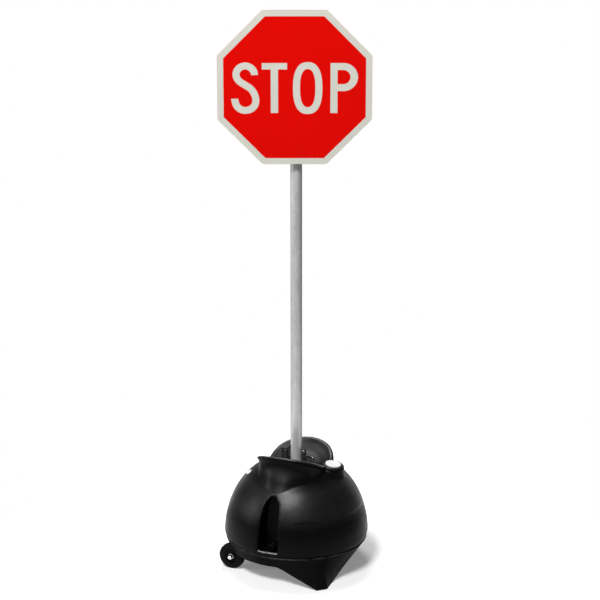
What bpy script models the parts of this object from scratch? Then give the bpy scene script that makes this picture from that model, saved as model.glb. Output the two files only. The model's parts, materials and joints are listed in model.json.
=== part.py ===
"""Portable stop sign: an octagonal sign on a round galvanised post that stands in a wheeled, fillable base.

Units are metres, +Z is up. The origin is on the ground under the post, in the middle of the footprint. The front
of the base, with its tall drain recess, looks along -Y, the two wheels are on the -X side with their axle along Y,
and the skid that carries the other side is at +X. The sign is turned about the post by SIGN_TURN.
"""

import math

import bmesh
import bpy
import numpy as np
from mathutils import Matrix, Vector

# Running gap between touching pieces
GAP = 0.0003

# Heights are laid out from a level inside the tray, which is this far above the ground
GROUND_DROP = 0.032

# Sign blade: a 24 inch octagon of flat aluminium sheet, faced with reflective sheeting
SIGN_WIDTH = 0.6096
SIGN_CORNER = 0.022
BLADE_THICK = 0.0032
SHEET_THICK = 0.0008
SIGN_CENTRE_Z = 1.983
SIGN_SHIFT = -0.006
SIGN_TURN = math.radians(21.3)

# Post: 1.875 inch round galvanised tube with a pressed cap
POST_RADIUS = 0.047625 / 2
POST_WALL = 0.0024
POST_FOOT_Z = 0.150
POST_TOP_MARGIN = 0.030
POST_CAP_WALL = 0.0015
POST_CAP_SKIRT = 0.018

# Sign fixing: two aluminium channels across the back, each held by a saddle and a U-bolt
RAIL_LENGTH = 0.400
RAIL_HEIGHT = 0.044
RAIL_WEB_HEIGHT = 0.022
RAIL_DEPTH = 0.015
RAIL_WALL = 0.0025
RAIL_SPACING = 0.330
SADDLE_WIDTH = 0.070
SADDLE_HEIGHT = 0.020
SADDLE_THICK = 0.006
SADDLE_HORN = 0.009
UBOLT_RADIUS = 0.004
UBOLT_TAIL = 0.002
NUT_RADIUS = 0.0068
NUT_THICK = 0.0055

# Tank: a moulded dome with eight faint facets
TANK_RADIUS = 0.3020
TANK_WIDEST_Z = 0.110
TANK_FOOT_RADIUS = 0.2980
TANK_FOOT_Z = 0.0895
TANK_TOP_Z = 0.4157
TANK_CURVE = 1.89
TANK_FULLNESS = 0.372
TANK_FACET = 0.006
TANK_SEGMENTS = 64
TANK_LEVELS = 11
TANK_FLAT_Z = 0.398

# Flared hand lips, one to the front and one to the back
LIP_RADIUS = 0.141
LIP_OFFSET = 0.052
LIP_CENTRE_Z = {"front": 0.425, "back": 0.402}
LIP_SQUARENESS = {"front": 2.6, "back": 2.0}
LIP_TILT = math.radians(25.0)
LIP_THICK = 0.023
LIP_FLANGE = 0.018
LIP_DISH = 0.014
LIP_STEP = 0.0016
LIP_SEGMENTS = 48

# Wall under each lip. It stands on the dome along a V shaped line: azimuth from the front, and height there
WALL_TURN = math.radians(-3.0)
WALL_LINE = ((0, 0.335), (6, 0.339), (10, 0.345), (17, 0.3575), (24, 0.364), (34, 0.369), (44, 0.377),
             (56, 0.384), (70, 0.390), (85, 0.397))
WALL_INSET = 0.005
WALL_FOOT_DROP = 0.035
WALL_MIDDLE_Z = 0.320

# Tall arched recess at the front, for the drain plug: heights with half widths
SLOT_X = -0.0125
SLOT_OUTLINE = ((0.110, 0.0435), (0.144, 0.0425), (0.185, 0.0412), (0.216, 0.0392), (0.247, 0.0370),
                (0.277, 0.0335), (0.296, 0.0285), (0.3085, 0.0225), (0.3185, 0.0145), (0.3245, 0.0060))
SLOT_BACK_Y = -0.196
SILL_Y = -0.284
SUMP_Z = 0.0965
DRAIN_BOSS_RADIUS = 0.0180
DRAIN_BOSS_LENGTH = 0.045

# Shallow step in the side panel on the filler side, low down
PANEL_STEP = 0.003
PANEL_TOP_Z = 0.237
PANEL_LOW_Z = 0.125
PANEL_START = math.radians(-74)
PANEL_END = math.radians(34)
PANEL_FADE = math.radians(8)

# Filler boss, its neck and its screw cap
BOSS_X = 0.157
BOSS_Y = 0.020
BOSS_TOP_Z = 0.409
BOSS_RADIUS = 0.048
BOSS_FOOT_RADIUS = 0.064
BOSS_DEPTH = 0.080
BOSS_LEAN = math.radians(9)
CAP_RADIUS = 0.0325
CAP_THICK = 0.010
CAP_SINK = 0.0092
CAP_STEM_RADIUS = 0.0225
CAP_STEM_LENGTH = 0.020
NECK_DEPTH = 0.050
SEAL_THICK = 0.002
SEAL_INNER = 0.0245

# Vent plug on the other shoulder
VENT_ANGLE = math.radians(204)
VENT_RADIUS = 0.198
VENT_Z = 0.360
VENT_LEAN = math.radians(38)
VENT_HEAD_RADIUS = 0.013
VENT_HEAD_THICK = 0.005
VENT_STEM_RADIUS = 0.007
VENT_STEM_LENGTH = 0.018

# Drain plug on the back wall of the recess
DRAIN_Z = 0.1145
DRAIN_RADIUS = 0.0165
DRAIN_THICK = 0.016
DRAIN_STEM_RADIUS = 0.009
DRAIN_DIMPLE_RADIUS = 0.007
DRAIN_STEM_LENGTH = 0.020
DRAIN_SEAL_THICK = 0.002

# Ballast tray under the tank: it slopes down to a skid on the side away from the wheels
TRAY_TOP_RADIUS = 0.2960
TRAY_BOTTOM_RADIUS = 0.284
TRAY_TOP_Z = TANK_FOOT_Z - GAP
TRAY_FLOOR_Z = 0.045
TRAY_WHEEL_SIDE_Z = 0.064
TRAY_RISE_X = -0.190
TRAY_RISE_LENGTH = 0.090
SKID_START_X = 0.030
SKID_FULL_X = 0.200
SKID_EDGE_X = 0.2141
SKID_EDGE_SLANT = 0.0722
SKID_TOE_X = 0.224
SKID_TOE_Y = -0.280
SKID_TOE_BLUNT = 0.479
TRAY_SEGMENTS = 72
TRAY_PATCH_DEPTH = 0.005
TRAY_PATCH_LOW_Z = 0.053
TRAY_PATCH_HIGH_Z = 0.079
SEAM_CHAMFER = 0.004

# Wheels and axle
WHEEL_RADIUS = 0.055
WHEEL_Z = WHEEL_RADIUS - GROUND_DROP
WHEEL_WIDTH = 0.026
WHEEL_X = -0.216
WHEEL_FACE_Y = 0.197
HUB_RADIUS = 0.031
HUB_BOSS_RADIUS = 0.013
HUB_BOSS_PROUD = 0.003
HUB_DISH = 0.006
AXLE_RADIUS = 0.006
AXLE_CLEARANCE = 0.0004
WASHER_RADIUS = 0.011
WASHER_THICK = 0.002
AXLE_NUT_RADIUS = 0.0095
AXLE_NUT_CROWN = 0.006
AXLE_END = 0.014
WHEEL_ARCH_GAP = 0.006
HANGER_HALF_X = 0.020
HANGER_THICK = 0.012
HANGER_Y = 0.146
HANGER_LOW_Z = 0.010
HANGER_TOP_Z = 0.062

# Post socket and adaptor sleeve
SOCKET_RADIUS = 0.0335
SOCKET_WALL = 0.0030
SOCKET_TOP_Z = 0.395
SOCKET_BASE_THICK = 0.004
SLEEVE_HEAD_RADIUS = 0.0335
SLEEVE_HEAD_THICK = 0.005

# Steel plate let into the valley between the lips, and its four bolts
PLATE_Z = 0.3825
PLATE_THICK = 0.004
PLATE_LEFT_X = -0.084
PLATE_RIGHT_X = 0.094
PLATE_HALF_DEPTH = 0.043
PLATE_BOLT_INSET = 0.011
BOLT_RADIUS = 0.003
BOLT_HEAD_RADIUS = 0.0058
BOLT_HEAD_THICK = 0.004
BOLT_LENGTH = 0.020

# Keeper: a channel bracket beside the post, with a flat bar that leans on the post from a pin
BRACKET_X = -0.0520
BRACKET_Y = 0.012
BRACKET_WIDTH = 0.026
BRACKET_DEPTH = 0.042
BRACKET_TOP_Z = 0.462
BRACKET_WALL = 0.003
BRACKET_HOLE_RADIUS = 0.004
KEEPER_PIN_X = -0.0450
KEEPER_PIN_Z = 0.4535
KEEPER_PIN_RADIUS = 0.003
KEEPER_WIDTH = 0.016
KEEPER_THICK = 0.004
KEEPER_LENGTH = 0.040
KEEPER_EYE_RADIUS = 0.0048

# Clamp lever: an L shaped lever on a bolt through an upright lug
LUG_X = 0.0355
LUG_WIDTH = 0.018
LUG_THICK = 0.006
LUG_Y = -0.004
LUG_RELIEF = 0.0012
LUG_TOP_Z = 0.466
LEVER_PIVOT_Z = 0.457
LEVER_THICK = 0.006
LEVER_LEG = 0.012
LEVER_DROP = 0.021
LEVER_REACH = 0.048
LEVER_BOLT_RADIUS = 0.004
LEVER_HEAD_RADIUS = 0.0072
LEVER_HEAD_THICK = 0.005
LEVER_STUD_RADIUS = 0.0035


def clear_scene():
    for old in list(bpy.data.objects):
        bpy.data.objects.remove(old, do_unlink=True)


def material(name, colour, roughness, metallic=0.0):
    mat = bpy.data.materials.new(name)
    mat.use_nodes = True
    shader = mat.node_tree.nodes["Principled BSDF"]
    shader.inputs["Base Color"].default_value = (*colour, 1.0)
    shader.inputs["Roughness"].default_value = roughness
    shader.inputs["Metallic"].default_value = metallic
    mat.diffuse_color = (*colour, 1.0)
    return mat


def add_object(name, mesh, mat=None, parent=None, location=(0, 0, 0), rotation=(0, 0, 0), smooth=30):
    """Put a mesh into the scene as one named piece."""
    obj = bpy.data.objects.new(name, mesh)
    bpy.context.scene.collection.objects.link(obj)
    obj.location = location
    obj.rotation_euler = rotation
    obj.parent = parent
    if mat is not None:
        mesh.materials.append(mat)
    mesh.shade_smooth()
    mesh.set_sharp_from_angle(angle=math.radians(smooth))
    return obj


def empty(name, location=(0, 0, 0), rotation=(0, 0, 0), parent=None):
    obj = bpy.data.objects.new(name, None)
    bpy.context.scene.collection.objects.link(obj)
    obj.location = location
    obj.rotation_euler = rotation
    obj.parent = parent
    return obj


def mesh_from(name, points, faces, triangulate=False):
    mesh = bpy.data.meshes.new(name)
    mesh.from_pydata([tuple(float(c) for c in p) for p in points], [], faces)
    shape = bmesh.new()
    shape.from_mesh(mesh)
    if triangulate:
        bmesh.ops.triangulate(shape, faces=shape.faces)
    bmesh.ops.recalc_face_normals(shape, faces=shape.faces)
    if shape.calc_volume(signed=True) < 0:
        bmesh.ops.reverse_faces(shape, faces=shape.faces)
    shape.to_mesh(mesh)
    shape.free()
    return mesh


def revolve_mesh(name, profile, segments=48, phase=0.0):
    """Turn a closed (radius, height) outline round Z. A point on the axis closes a flat end or a tip."""
    points = []
    rings = []
    for index, (radius, height) in enumerate(profile):
        if radius < 1e-7:
            level = [r for r, z in (profile[index - 1], profile[(index + 1) % len(profile)])
                     if r > 1e-7 and abs(z - height) < 1e-7]
            rings.append([] if level else [len(points)])
            if not level:
                points.append((0.0, 0.0, height))
            continue
        start = len(points)
        for step in range(segments):
            angle = 2 * math.pi * (step + phase) / segments
            points.append((radius * math.cos(angle), radius * math.sin(angle), height))
        rings.append(list(range(start, start + segments)))
    faces = []
    for index, ring in enumerate(rings):
        after = rings[(index + 1) % len(rings)]
        if len(ring) <= 1 and len(after) <= 1:
            continue
        if not ring or not after:
            faces.append(tuple(ring or after))
            continue
        for step in range(segments):
            nxt = (step + 1) % segments
            if len(ring) == 1:
                faces.append((ring[0], after[step], after[nxt]))
            elif len(after) == 1:
                faces.append((ring[step], ring[nxt], after[0]))
            else:
                faces.append((ring[step], ring[nxt], after[nxt], after[step]))
    return mesh_from(name, points, faces)


def tube_profile(outer, inner, low, high, chamfer=0.0):
    if chamfer:
        return [(inner, low), (outer - chamfer, low), (outer, low + chamfer),
                (outer, high - chamfer), (outer - chamfer, high), (inner, high)]
    return [(inner, low), (outer, low), (outer, high), (inner, high)]


def rod_profile(radius, low, high, chamfer=0.0):
    if chamfer:
        return [(0, low), (radius - chamfer, low), (radius, low + chamfer),
                (radius, high - chamfer), (radius - chamfer, high), (0, high)]
    return [(0, low), (radius, low), (radius, high), (0, high)]


def prism_mesh(name, outline, low, high):
    """Extrude a flat outline in X and Y from one height to another."""
    count = len(outline)
    points = [(x, y, low) for x, y in outline] + [(x, y, high) for x, y in outline]
    faces = [tuple(range(count)), tuple(range(count, 2 * count))]
    for step in range(count):
        nxt = (step + 1) % count
        faces.append((step, nxt, count + nxt, count + step))
    return mesh_from(name, points, faces)


def box_mesh(name, low, high):
    outline = [(low[0], low[1]), (high[0], low[1]), (high[0], high[1]), (low[0], high[1])]
    return prism_mesh(name, outline, low[2], high[2])


def arc(centre, radius, start, end, steps):
    return [(centre[0] + radius * math.cos(start + (end - start) * i / steps),
             centre[1] + radius * math.sin(start + (end - start) * i / steps)) for i in range(steps + 1)]


def rounded_polygon(sides, width, corner, steps):
    """A regular polygon of a width across flats, standing on a flat, with round corners."""
    apothem = width / 2 - corner
    reach = apothem / math.cos(math.pi / sides)
    outline = []
    for side in range(sides):
        angle = 2 * math.pi * (side + 0.5) / sides
        centre = (reach * math.cos(angle), reach * math.sin(angle))
        half = math.pi / sides
        outline += arc(centre, corner, angle - half, angle + half, steps)
    return outline


def cutter(name, mesh, location=(0, 0, 0), rotation=(0, 0, 0), parent=None):
    obj = add_object(name, mesh, None, parent, location, rotation)
    obj.hide_render = True
    obj.display_type = "WIRE"
    return obj


def combine(obj, other, operation="DIFFERENCE"):
    mod = obj.modifiers.new(operation.title() + " " + other.name, "BOOLEAN")
    mod.operation = operation
    mod.object = other
    mod.solver = "EXACT"


def tank_radius(height):
    """Radius of the dome at a height: full and upright low down, closing faster towards the top."""
    rise = np.clip((np.asarray(height) - TANK_WIDEST_Z) / (TANK_TOP_Z - TANK_WIDEST_Z), 0.0, 1.0)
    return TANK_RADIUS * (1.0 - rise ** TANK_CURVE) ** TANK_FULLNESS


def facet(angle):
    """A share of the radius, which flattens the round plan a little on eight sides."""
    return 1.0 - TANK_FACET * (1.0 - np.cos(8 * (angle + math.radians(12)))) / 2


def tank_mesh():
    """The dome, closed flat at both ends: the flat top lies inside the drum that carries the lips."""
    rise = (TANK_FLAT_Z - TANK_WIDEST_Z) / (TANK_TOP_Z - TANK_WIDEST_Z)
    shares = np.sin(np.linspace(0.0, math.asin(rise), TANK_LEVELS))
    profile = [(TANK_FOOT_RADIUS - SEAM_CHAMFER, TANK_FOOT_Z),
               (TANK_FOOT_RADIUS, TANK_FOOT_Z + SEAM_CHAMFER)]
    for share in shares:
        height = TANK_WIDEST_Z + (TANK_TOP_Z - TANK_WIDEST_Z) * float(share)
        profile.append((float(tank_radius(height)), height))
    points = []
    for radius, height in profile:
        for step in range(TANK_SEGMENTS):
            angle = 2 * math.pi * step / TANK_SEGMENTS
            reach = radius * float(facet(angle))
            points.append((reach * math.cos(angle), reach * math.sin(angle), height))
    return mesh_from("tank_shell", points, ring_faces(len(profile), TANK_SEGMENTS))


def ring_faces(rings, segments):
    """Faces of a stack of rings, closed flat at both ends."""
    faces = [tuple(range(segments)), tuple(range((rings - 1) * segments, rings * segments))]
    for ring in range(rings - 1):
        a = ring * segments
        b = a + segments
        for step in range(segments):
            nxt = (step + 1) % segments
            faces.append((a + step, a + nxt, b + nxt, b + step))
    return faces


def squareness(angle, power):
    """Share by which a circle's reach grows towards the corners of a superellipse of that power."""
    return (abs(math.cos(angle)) ** power + abs(math.sin(angle)) ** power) ** (-1 / power)


def lip_top(side, depth):
    """Height of a lip's top plane over a point that lies that far in front of (or behind) the post."""
    return LIP_CENTRE_Z[side] + (depth - LIP_OFFSET) * math.tan(LIP_TILT)


def lip_mesh(side):
    """A plate with a rolled edge, round or a little squared, and a cone under it that runs into the neck."""
    roll = LIP_THICK / 2
    profile = [(LIP_RADIUS - roll, 0.0)]
    profile += arc((LIP_RADIUS - roll, -roll), roll, math.pi / 2, -math.pi / 2, 4)[1:]
    profile += [(LIP_RADIUS - 0.030, -LIP_THICK - 0.010)]
    points = []
    for radius, height in profile:
        for step in range(LIP_SEGMENTS):
            angle = 2 * math.pi * step / LIP_SEGMENTS
            reach = radius * squareness(angle, LIP_SQUARENESS[side])
            points.append((reach * math.cos(angle), reach * math.sin(angle), height))
    return mesh_from("hand_lip", points, ring_faces(len(profile), LIP_SEGMENTS), triangulate=True)


def lip_reach(side, azimuth, inset):
    """Distance from the post's axis to a lip's outline, drawn in by an inset, in a direction of the plan."""
    low, high = 0.0, 0.4
    radius = LIP_RADIUS - inset
    for _ in range(40):
        middle = (low + high) / 2
        across, depth = middle * math.sin(azimuth), middle * math.cos(azimuth)
        along = (depth - LIP_OFFSET) / math.cos(LIP_TILT)
        limit = radius * squareness(math.atan2(along, across), LIP_SQUARENESS[side])
        low, high = (middle, high) if math.hypot(across, along) < limit else (low, middle)
    return low


def wall_mesh():
    """The wall under both lips: each column runs from inside the dome up to a lip's underside."""
    columns = 56
    rings = [[], [], [], []]
    degrees, heights = zip(*WALL_LINE)
    for column in range(columns):
        plan = 2 * math.pi * (column + 0.5) / columns
        side = "front" if math.cos(plan) > 0 else "back"
        azimuth = plan if side == "front" else math.pi - plan
        azimuth = (azimuth + math.pi) % (2 * math.pi) - math.pi
        off = abs(math.degrees(azimuth - WALL_TURN))
        foot_z = float(np.interp(off, degrees, heights))
        foot_r = float(tank_radius(foot_z))
        top_r = lip_reach(side, azimuth, WALL_INSET)
        top_z = max(lip_top(side, top_r * math.cos(azimuth)) - 0.45 * LIP_THICK, foot_z + 0.006)
        flare = (foot_r - top_r) / max(top_z - foot_z, 0.03)
        rows = [(foot_r + max(flare, -0.2) * WALL_FOOT_DROP, foot_z - WALL_FOOT_DROP),
                (foot_r, foot_z),
                (foot_r + 0.62 * (top_r - foot_r), foot_z + 0.42 * (top_z - foot_z)),
                (top_r, top_z)]
        for ring, (reach, height) in zip(rings, rows):
            ring.append((reach * math.sin(plan), -reach * math.cos(plan), height))
    points = [point for ring in rings for point in ring]
    faces = ring_faces(len(rings), columns)[2:]
    last = len(points) - columns
    for start, height in ((0, WALL_MIDDLE_Z), (last, TANK_FLAT_Z - 0.004)):
        points.append((0, 0, height))
        faces += [(start + step, start + (step + 1) % columns, len(points) - 1) for step in range(columns)]
    return mesh_from("lip_wall", points, faces, triangulate=True)


def dish_mesh():
    """The hollow top of both lips: two shallow tilted dishes that meet in a valley at the post."""
    inner = LIP_RADIUS - LIP_FLANGE
    columns = 48
    rings = 4
    ceiling = 0.60

    def across(x, y):
        side = "front" if y < 0 else "back"
        along = (abs(y) - LIP_OFFSET) / math.cos(LIP_TILT)
        limit = inner * squareness(math.atan2(along, x), LIP_SQUARENESS[side])
        return math.hypot(x, along) / limit

    def floor_point(x, y):
        side = "front" if y < 0 else "back"
        if y == 0:
            plane = (lip_top("front", 0) + lip_top("back", 0)) / 2
        else:
            blend = min(1.0, abs(y) / LIP_OFFSET)
            middle = (lip_top("front", abs(y)) + lip_top("back", abs(y))) / 2
            plane = middle + (lip_top(side, abs(y)) - middle) * blend
        return (x, y, plane - LIP_STEP - LIP_DISH * max(0.0, 1.0 - across(x, y) ** 4))

    def edge_reach(angle):
        low, high = 0.0, 0.4
        for _ in range(40):
            middle = (low + high) / 2
            if across(middle * math.cos(angle), middle * math.sin(angle)) < 1.0:
                low = middle
            else:
                high = middle
        return low

    points = [floor_point(0.0, 0.0)]
    for ring in range(1, rings + 1):
        share = math.sin(math.pi / 2 * ring / rings)
        for column in range(columns):
            angle = 2 * math.pi * (column + 0.5) / columns
            reach = edge_reach(angle) * share
            points.append(floor_point(reach * math.cos(angle), reach * math.sin(angle)))
    for column in range(columns):
        x, y, _ = points[1 + (rings - 1) * columns + column]
        points.append((x, y, ceiling))
    points.append((0, 0, ceiling))
    faces = []
    for column in range(columns):
        nxt = (column + 1) % columns
        faces.append((0, 1 + column, 1 + nxt))
        for ring in range(rings):
            a = 1 + ring * columns
            b = a + columns
            faces.append((a + column, a + nxt, b + nxt, b + column))
        top = 1 + rings * columns
        faces.append((len(points) - 1, top + column, top + nxt))
    return mesh_from("dish", points, faces, triangulate=True)


def panel_mesh():
    """A thin layer to take off the side: deepest just under the ledge, fading out downwards and sideways."""
    angles = np.linspace(PANEL_START, PANEL_END, 19)
    heights = np.linspace(PANEL_LOW_Z, PANEL_TOP_Z, 4)
    proud = 0.0015
    points = []
    for angle in angles:
        side = min(1.0, (angle - PANEL_START) / PANEL_FADE, (PANEL_END - angle) / PANEL_FADE)
        for height in heights:
            share = (height - PANEL_LOW_Z) / (PANEL_TOP_Z - PANEL_LOW_Z)
            depth = (PANEL_STEP + proud) * share * max(side, 0.0) - proud
            reach = float(tank_radius(height)) * float(facet(angle)) - depth
            points.append((reach * math.cos(angle), reach * math.sin(angle), height))
        for height in heights[::-1]:
            reach = TANK_RADIUS + 0.02
            points.append((reach * math.cos(angle), reach * math.sin(angle), height))
    width = 2 * len(heights)
    faces = []
    for column in range(len(angles) - 1):
        for item in range(width):
            nxt = (item + 1) % width
            a = column * width
            faces.append((a + item, a + nxt, a + width + nxt, a + width + item))
    faces.append(tuple(range(width)))
    faces.append(tuple(range((len(angles) - 1) * width, len(angles) * width)))
    return mesh_from("panel", points, faces, triangulate=True)


def slot_mesh():
    """An arched opening, wider at its foot, run in from the front."""
    outline = [(half, z) for z, half in SLOT_OUTLINE] + [(-half, z) for z, half in SLOT_OUTLINE[::-1]]
    mesh = prism_mesh("slot", outline, -0.36, SLOT_BACK_Y)
    mesh.transform(Matrix(((1, 0, 0, 0), (0, 0, 1, 0), (0, 1, 0, 0), (0, 0, 0, 1))))
    outward(mesh)
    return mesh


def tray_outline(angle):
    """Reach of the tray's foot in a direction: a circle drawn out to a blunt toe, cut off at the skid."""
    toe_reach = math.hypot(SKID_TOE_X, SKID_TOE_Y)
    spread = math.acos(TRAY_BOTTOM_RADIUS / toe_reach)
    off = (angle - math.atan2(SKID_TOE_Y, SKID_TOE_X) + math.pi) % (2 * math.pi) - math.pi
    reach = TRAY_BOTTOM_RADIUS
    if abs(off) < spread:
        reach = TRAY_BOTTOM_RADIUS / math.cos(spread - abs(off))
    edge = math.cos(angle) + SKID_EDGE_SLANT * math.sin(angle)
    if edge > 0.01:
        reach = min(reach, SKID_EDGE_X / edge)
    blunt = math.cos(angle) - math.sin(angle)
    if blunt > 0.01:
        reach = min(reach, SKID_TOE_BLUNT / blunt)
    return reach


def tray_angles():
    """Even steps round the tray, with the nearest ones moved onto the toe's corners and the skid's end."""
    angles = [2 * math.pi * step / TRAY_SEGMENTS - math.pi for step in range(TRAY_SEGMENTS)]
    fine = np.linspace(-math.pi, math.pi, 7201)[:-1]
    reach = np.array([tray_outline(a) for a in fine])
    corners = np.stack([reach * np.cos(fine), reach * np.sin(fine)], 1)
    step_in = corners - np.roll(corners, 1, 0)
    step_out = np.roll(corners, -1, 0) - corners
    bend = step_in[:, 0] * step_out[:, 1] - step_in[:, 1] * step_out[:, 0]
    bend /= np.linalg.norm(step_in, axis=1) * np.linalg.norm(step_out, axis=1)
    for _ in range(3):
        sharp = int(np.argmax(bend))
        bend[max(sharp - 40, 0):sharp + 40] = 0
        nearest = min(range(TRAY_SEGMENTS), key=lambda i: abs(angles[i] - fine[sharp]))
        angles[nearest] = float(fine[sharp])
    return angles


def tray_floor(x):
    """Height of the tray's underside: down to the ground at the skid, and a little up at the wheels."""
    down = np.clip((x - SKID_START_X) / (SKID_FULL_X - SKID_START_X), 0.0, 1.0)
    up = np.clip((TRAY_RISE_X - x) / TRAY_RISE_LENGTH, 0.0, 1.0)
    return TRAY_FLOOR_Z - (TRAY_FLOOR_Z + GROUND_DROP) * down + (TRAY_WHEEL_SIDE_Z - TRAY_FLOOR_Z) * up


def tray_mesh():
    """The tray's wall runs straight from its foot outline to the round top; rings close its underside."""
    rows = 3
    angles = tray_angles()
    rings = []
    for share in (0.45, SKID_FULL_X / SKID_EDGE_X):
        reaches = [share * tray_outline(angle) for angle in angles]
        foot = [(reach * math.cos(angle), reach * math.sin(angle)) for reach, angle in zip(reaches, angles)]
        rings.append([(x, y, float(tray_floor(x))) for x, y in foot])
    edge_z = TRAY_TOP_Z - SEAM_CHAMFER
    for row in range(rows + 1):
        share = row / rows
        ring = []
        for angle in angles:
            reach = tray_outline(angle)
            low = Vector((reach * math.cos(angle), reach * math.sin(angle), 0))
            low.z = float(tray_floor(low.x))
            top = Vector((TRAY_TOP_RADIUS * math.cos(angle), TRAY_TOP_RADIUS * math.sin(angle), edge_z))
            ring.append(tuple(low.lerp(top, share)))
        rings.append(ring)
    brim = TRAY_TOP_RADIUS - SEAM_CHAMFER
    rings.append([(brim * math.cos(a), brim * math.sin(a), TRAY_TOP_Z) for a in angles])
    points = [point for ring in rings for point in ring]
    faces = []
    for row in range(len(rings) - 1):
        a = row * TRAY_SEGMENTS
        b = a + TRAY_SEGMENTS
        for step in range(TRAY_SEGMENTS):
            nxt = (step + 1) % TRAY_SEGMENTS
            faces.append((a + step, a + nxt, b + nxt, b + step))
    last = (len(rings) - 1) * TRAY_SEGMENTS
    faces.append(tuple(range(last, last + TRAY_SEGMENTS)))
    centre = len(points)
    points.append((0, 0, TRAY_FLOOR_Z))
    faces += [(centre, (step + 1) % TRAY_SEGMENTS, step) for step in range(TRAY_SEGMENTS)]
    return mesh_from("ballast_tray", points, faces, triangulate=True)


def build_tank(plastic):
    tank = add_object("tank_shell", tank_mesh(), plastic, smooth=28)
    combine(tank, cutter("lip_wall", wall_mesh()), "UNION")
    for side, turn in (("front", 0.0), ("back", math.pi)):
        place = Matrix.Rotation(turn, 4, "Z") @ Matrix.Translation((0, -LIP_OFFSET, LIP_CENTRE_Z[side]))
        lip = cutter("lip_" + side, lip_mesh(side))
        lip.matrix_world = place @ Matrix.Rotation(-LIP_TILT, 4, "X")
        combine(tank, lip, "UNION")
    filler = ((BOSS_X, BOSS_Y, BOSS_TOP_Z), (0, BOSS_LEAN, 0))
    boss_profile = [(0, -BOSS_DEPTH), (BOSS_FOOT_RADIUS, -BOSS_DEPTH), (BOSS_RADIUS + 0.005, -0.040),
                    (BOSS_RADIUS, -0.005), (BOSS_RADIUS - 0.003, 0), (0, 0)]
    combine(tank, cutter("filler_boss", revolve_mesh("filler_boss", boss_profile, 40), *filler), "UNION")
    combine(tank, cutter("dish_hollow", dish_mesh()))
    combine(tank, cutter("drain_recess", slot_mesh(), (SLOT_X, 0, 0)))
    combine(tank, cutter("drain_sump", box_mesh(
        "drain_sump", (SLOT_X - SLOT_OUTLINE[0][1] + 0.001, SILL_Y, SUMP_Z),
        (SLOT_X + SLOT_OUTLINE[0][1] - 0.001, SLOT_BACK_Y - 0.001, SLOT_OUTLINE[1][0]))))
    drain = ((SLOT_X, SLOT_BACK_Y, DRAIN_Z), (math.pi / 2, 0, 0))
    boss_profile = rod_profile(DRAIN_BOSS_RADIUS, -0.02, DRAIN_BOSS_LENGTH)
    combine(tank, cutter("drain_boss", revolve_mesh("drain_boss", boss_profile, 32), *drain), "UNION")
    combine(tank, cutter("side_panel", panel_mesh()))
    neck_profile = [(0, -NECK_DEPTH), (CAP_STEM_RADIUS + GAP, -NECK_DEPTH),
                    (CAP_STEM_RADIUS + GAP, -CAP_SINK),
                    (CAP_RADIUS + 0.001, -CAP_SINK), (CAP_RADIUS + 0.001, 0.02), (0, 0.02)]
    combine(tank, cutter("filler_neck", revolve_mesh("filler_neck", neck_profile, 40, 0.5), *filler))
    vent_profile = [(0, -VENT_STEM_LENGTH - 0.004), (VENT_STEM_RADIUS + GAP, -VENT_STEM_LENGTH - 0.004),
                    (VENT_STEM_RADIUS + GAP, 0), (VENT_HEAD_RADIUS + 0.001, 0),
                    (VENT_HEAD_RADIUS + 0.001, 0.03), (0, 0.03)]
    vent = cutter("vent_hole", revolve_mesh("vent_hole", vent_profile, 24))
    vent.matrix_world = vent_place()
    combine(tank, vent)
    hole_profile = rod_profile(DRAIN_STEM_RADIUS + GAP, DRAIN_BOSS_LENGTH - DRAIN_STEM_LENGTH - 0.005,
                               DRAIN_BOSS_LENGTH + 0.02)
    combine(tank, cutter("drain_hole", revolve_mesh("drain_hole", hole_profile, 28, 0.5), *drain))
    combine(tank, cutter("plate_pocket", box_mesh(
        "plate_pocket", (PLATE_LEFT_X - 0.001, -PLATE_HALF_DEPTH - 0.001, PLATE_Z - GAP),
        (PLATE_RIGHT_X + 0.001, PLATE_HALF_DEPTH + 0.001, 0.6))))
    well_profile = rod_profile(SOCKET_RADIUS + GAP, POST_FOOT_Z - SOCKET_BASE_THICK - 2 * GAP, 0.5)
    combine(tank, cutter("socket_well", revolve_mesh("socket_well", well_profile, 48)))
    for index, (x, y) in enumerate(plate_bolt_places()):
        hole = revolve_mesh("bolt_hole", rod_profile(BOLT_RADIUS + GAP, -BOLT_LENGTH - 0.003, 0.05), 16)
        combine(tank, cutter("bolt_hole_%d" % index, hole, (x, y, PLATE_Z + PLATE_THICK)))
    return tank


def plate_bolt_places():
    depth = PLATE_HALF_DEPTH - PLATE_BOLT_INSET
    return [(x, y) for x in (PLATE_LEFT_X + PLATE_BOLT_INSET, PLATE_RIGHT_X - PLATE_BOLT_INSET)
            for y in (-depth, depth)]


def vent_place():
    turn = Matrix.Rotation(VENT_ANGLE, 4, "Z")
    return turn @ Matrix.Translation((VENT_RADIUS, 0, VENT_Z)) @ Matrix.Rotation(VENT_LEAN, 4, "Y")


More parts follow.
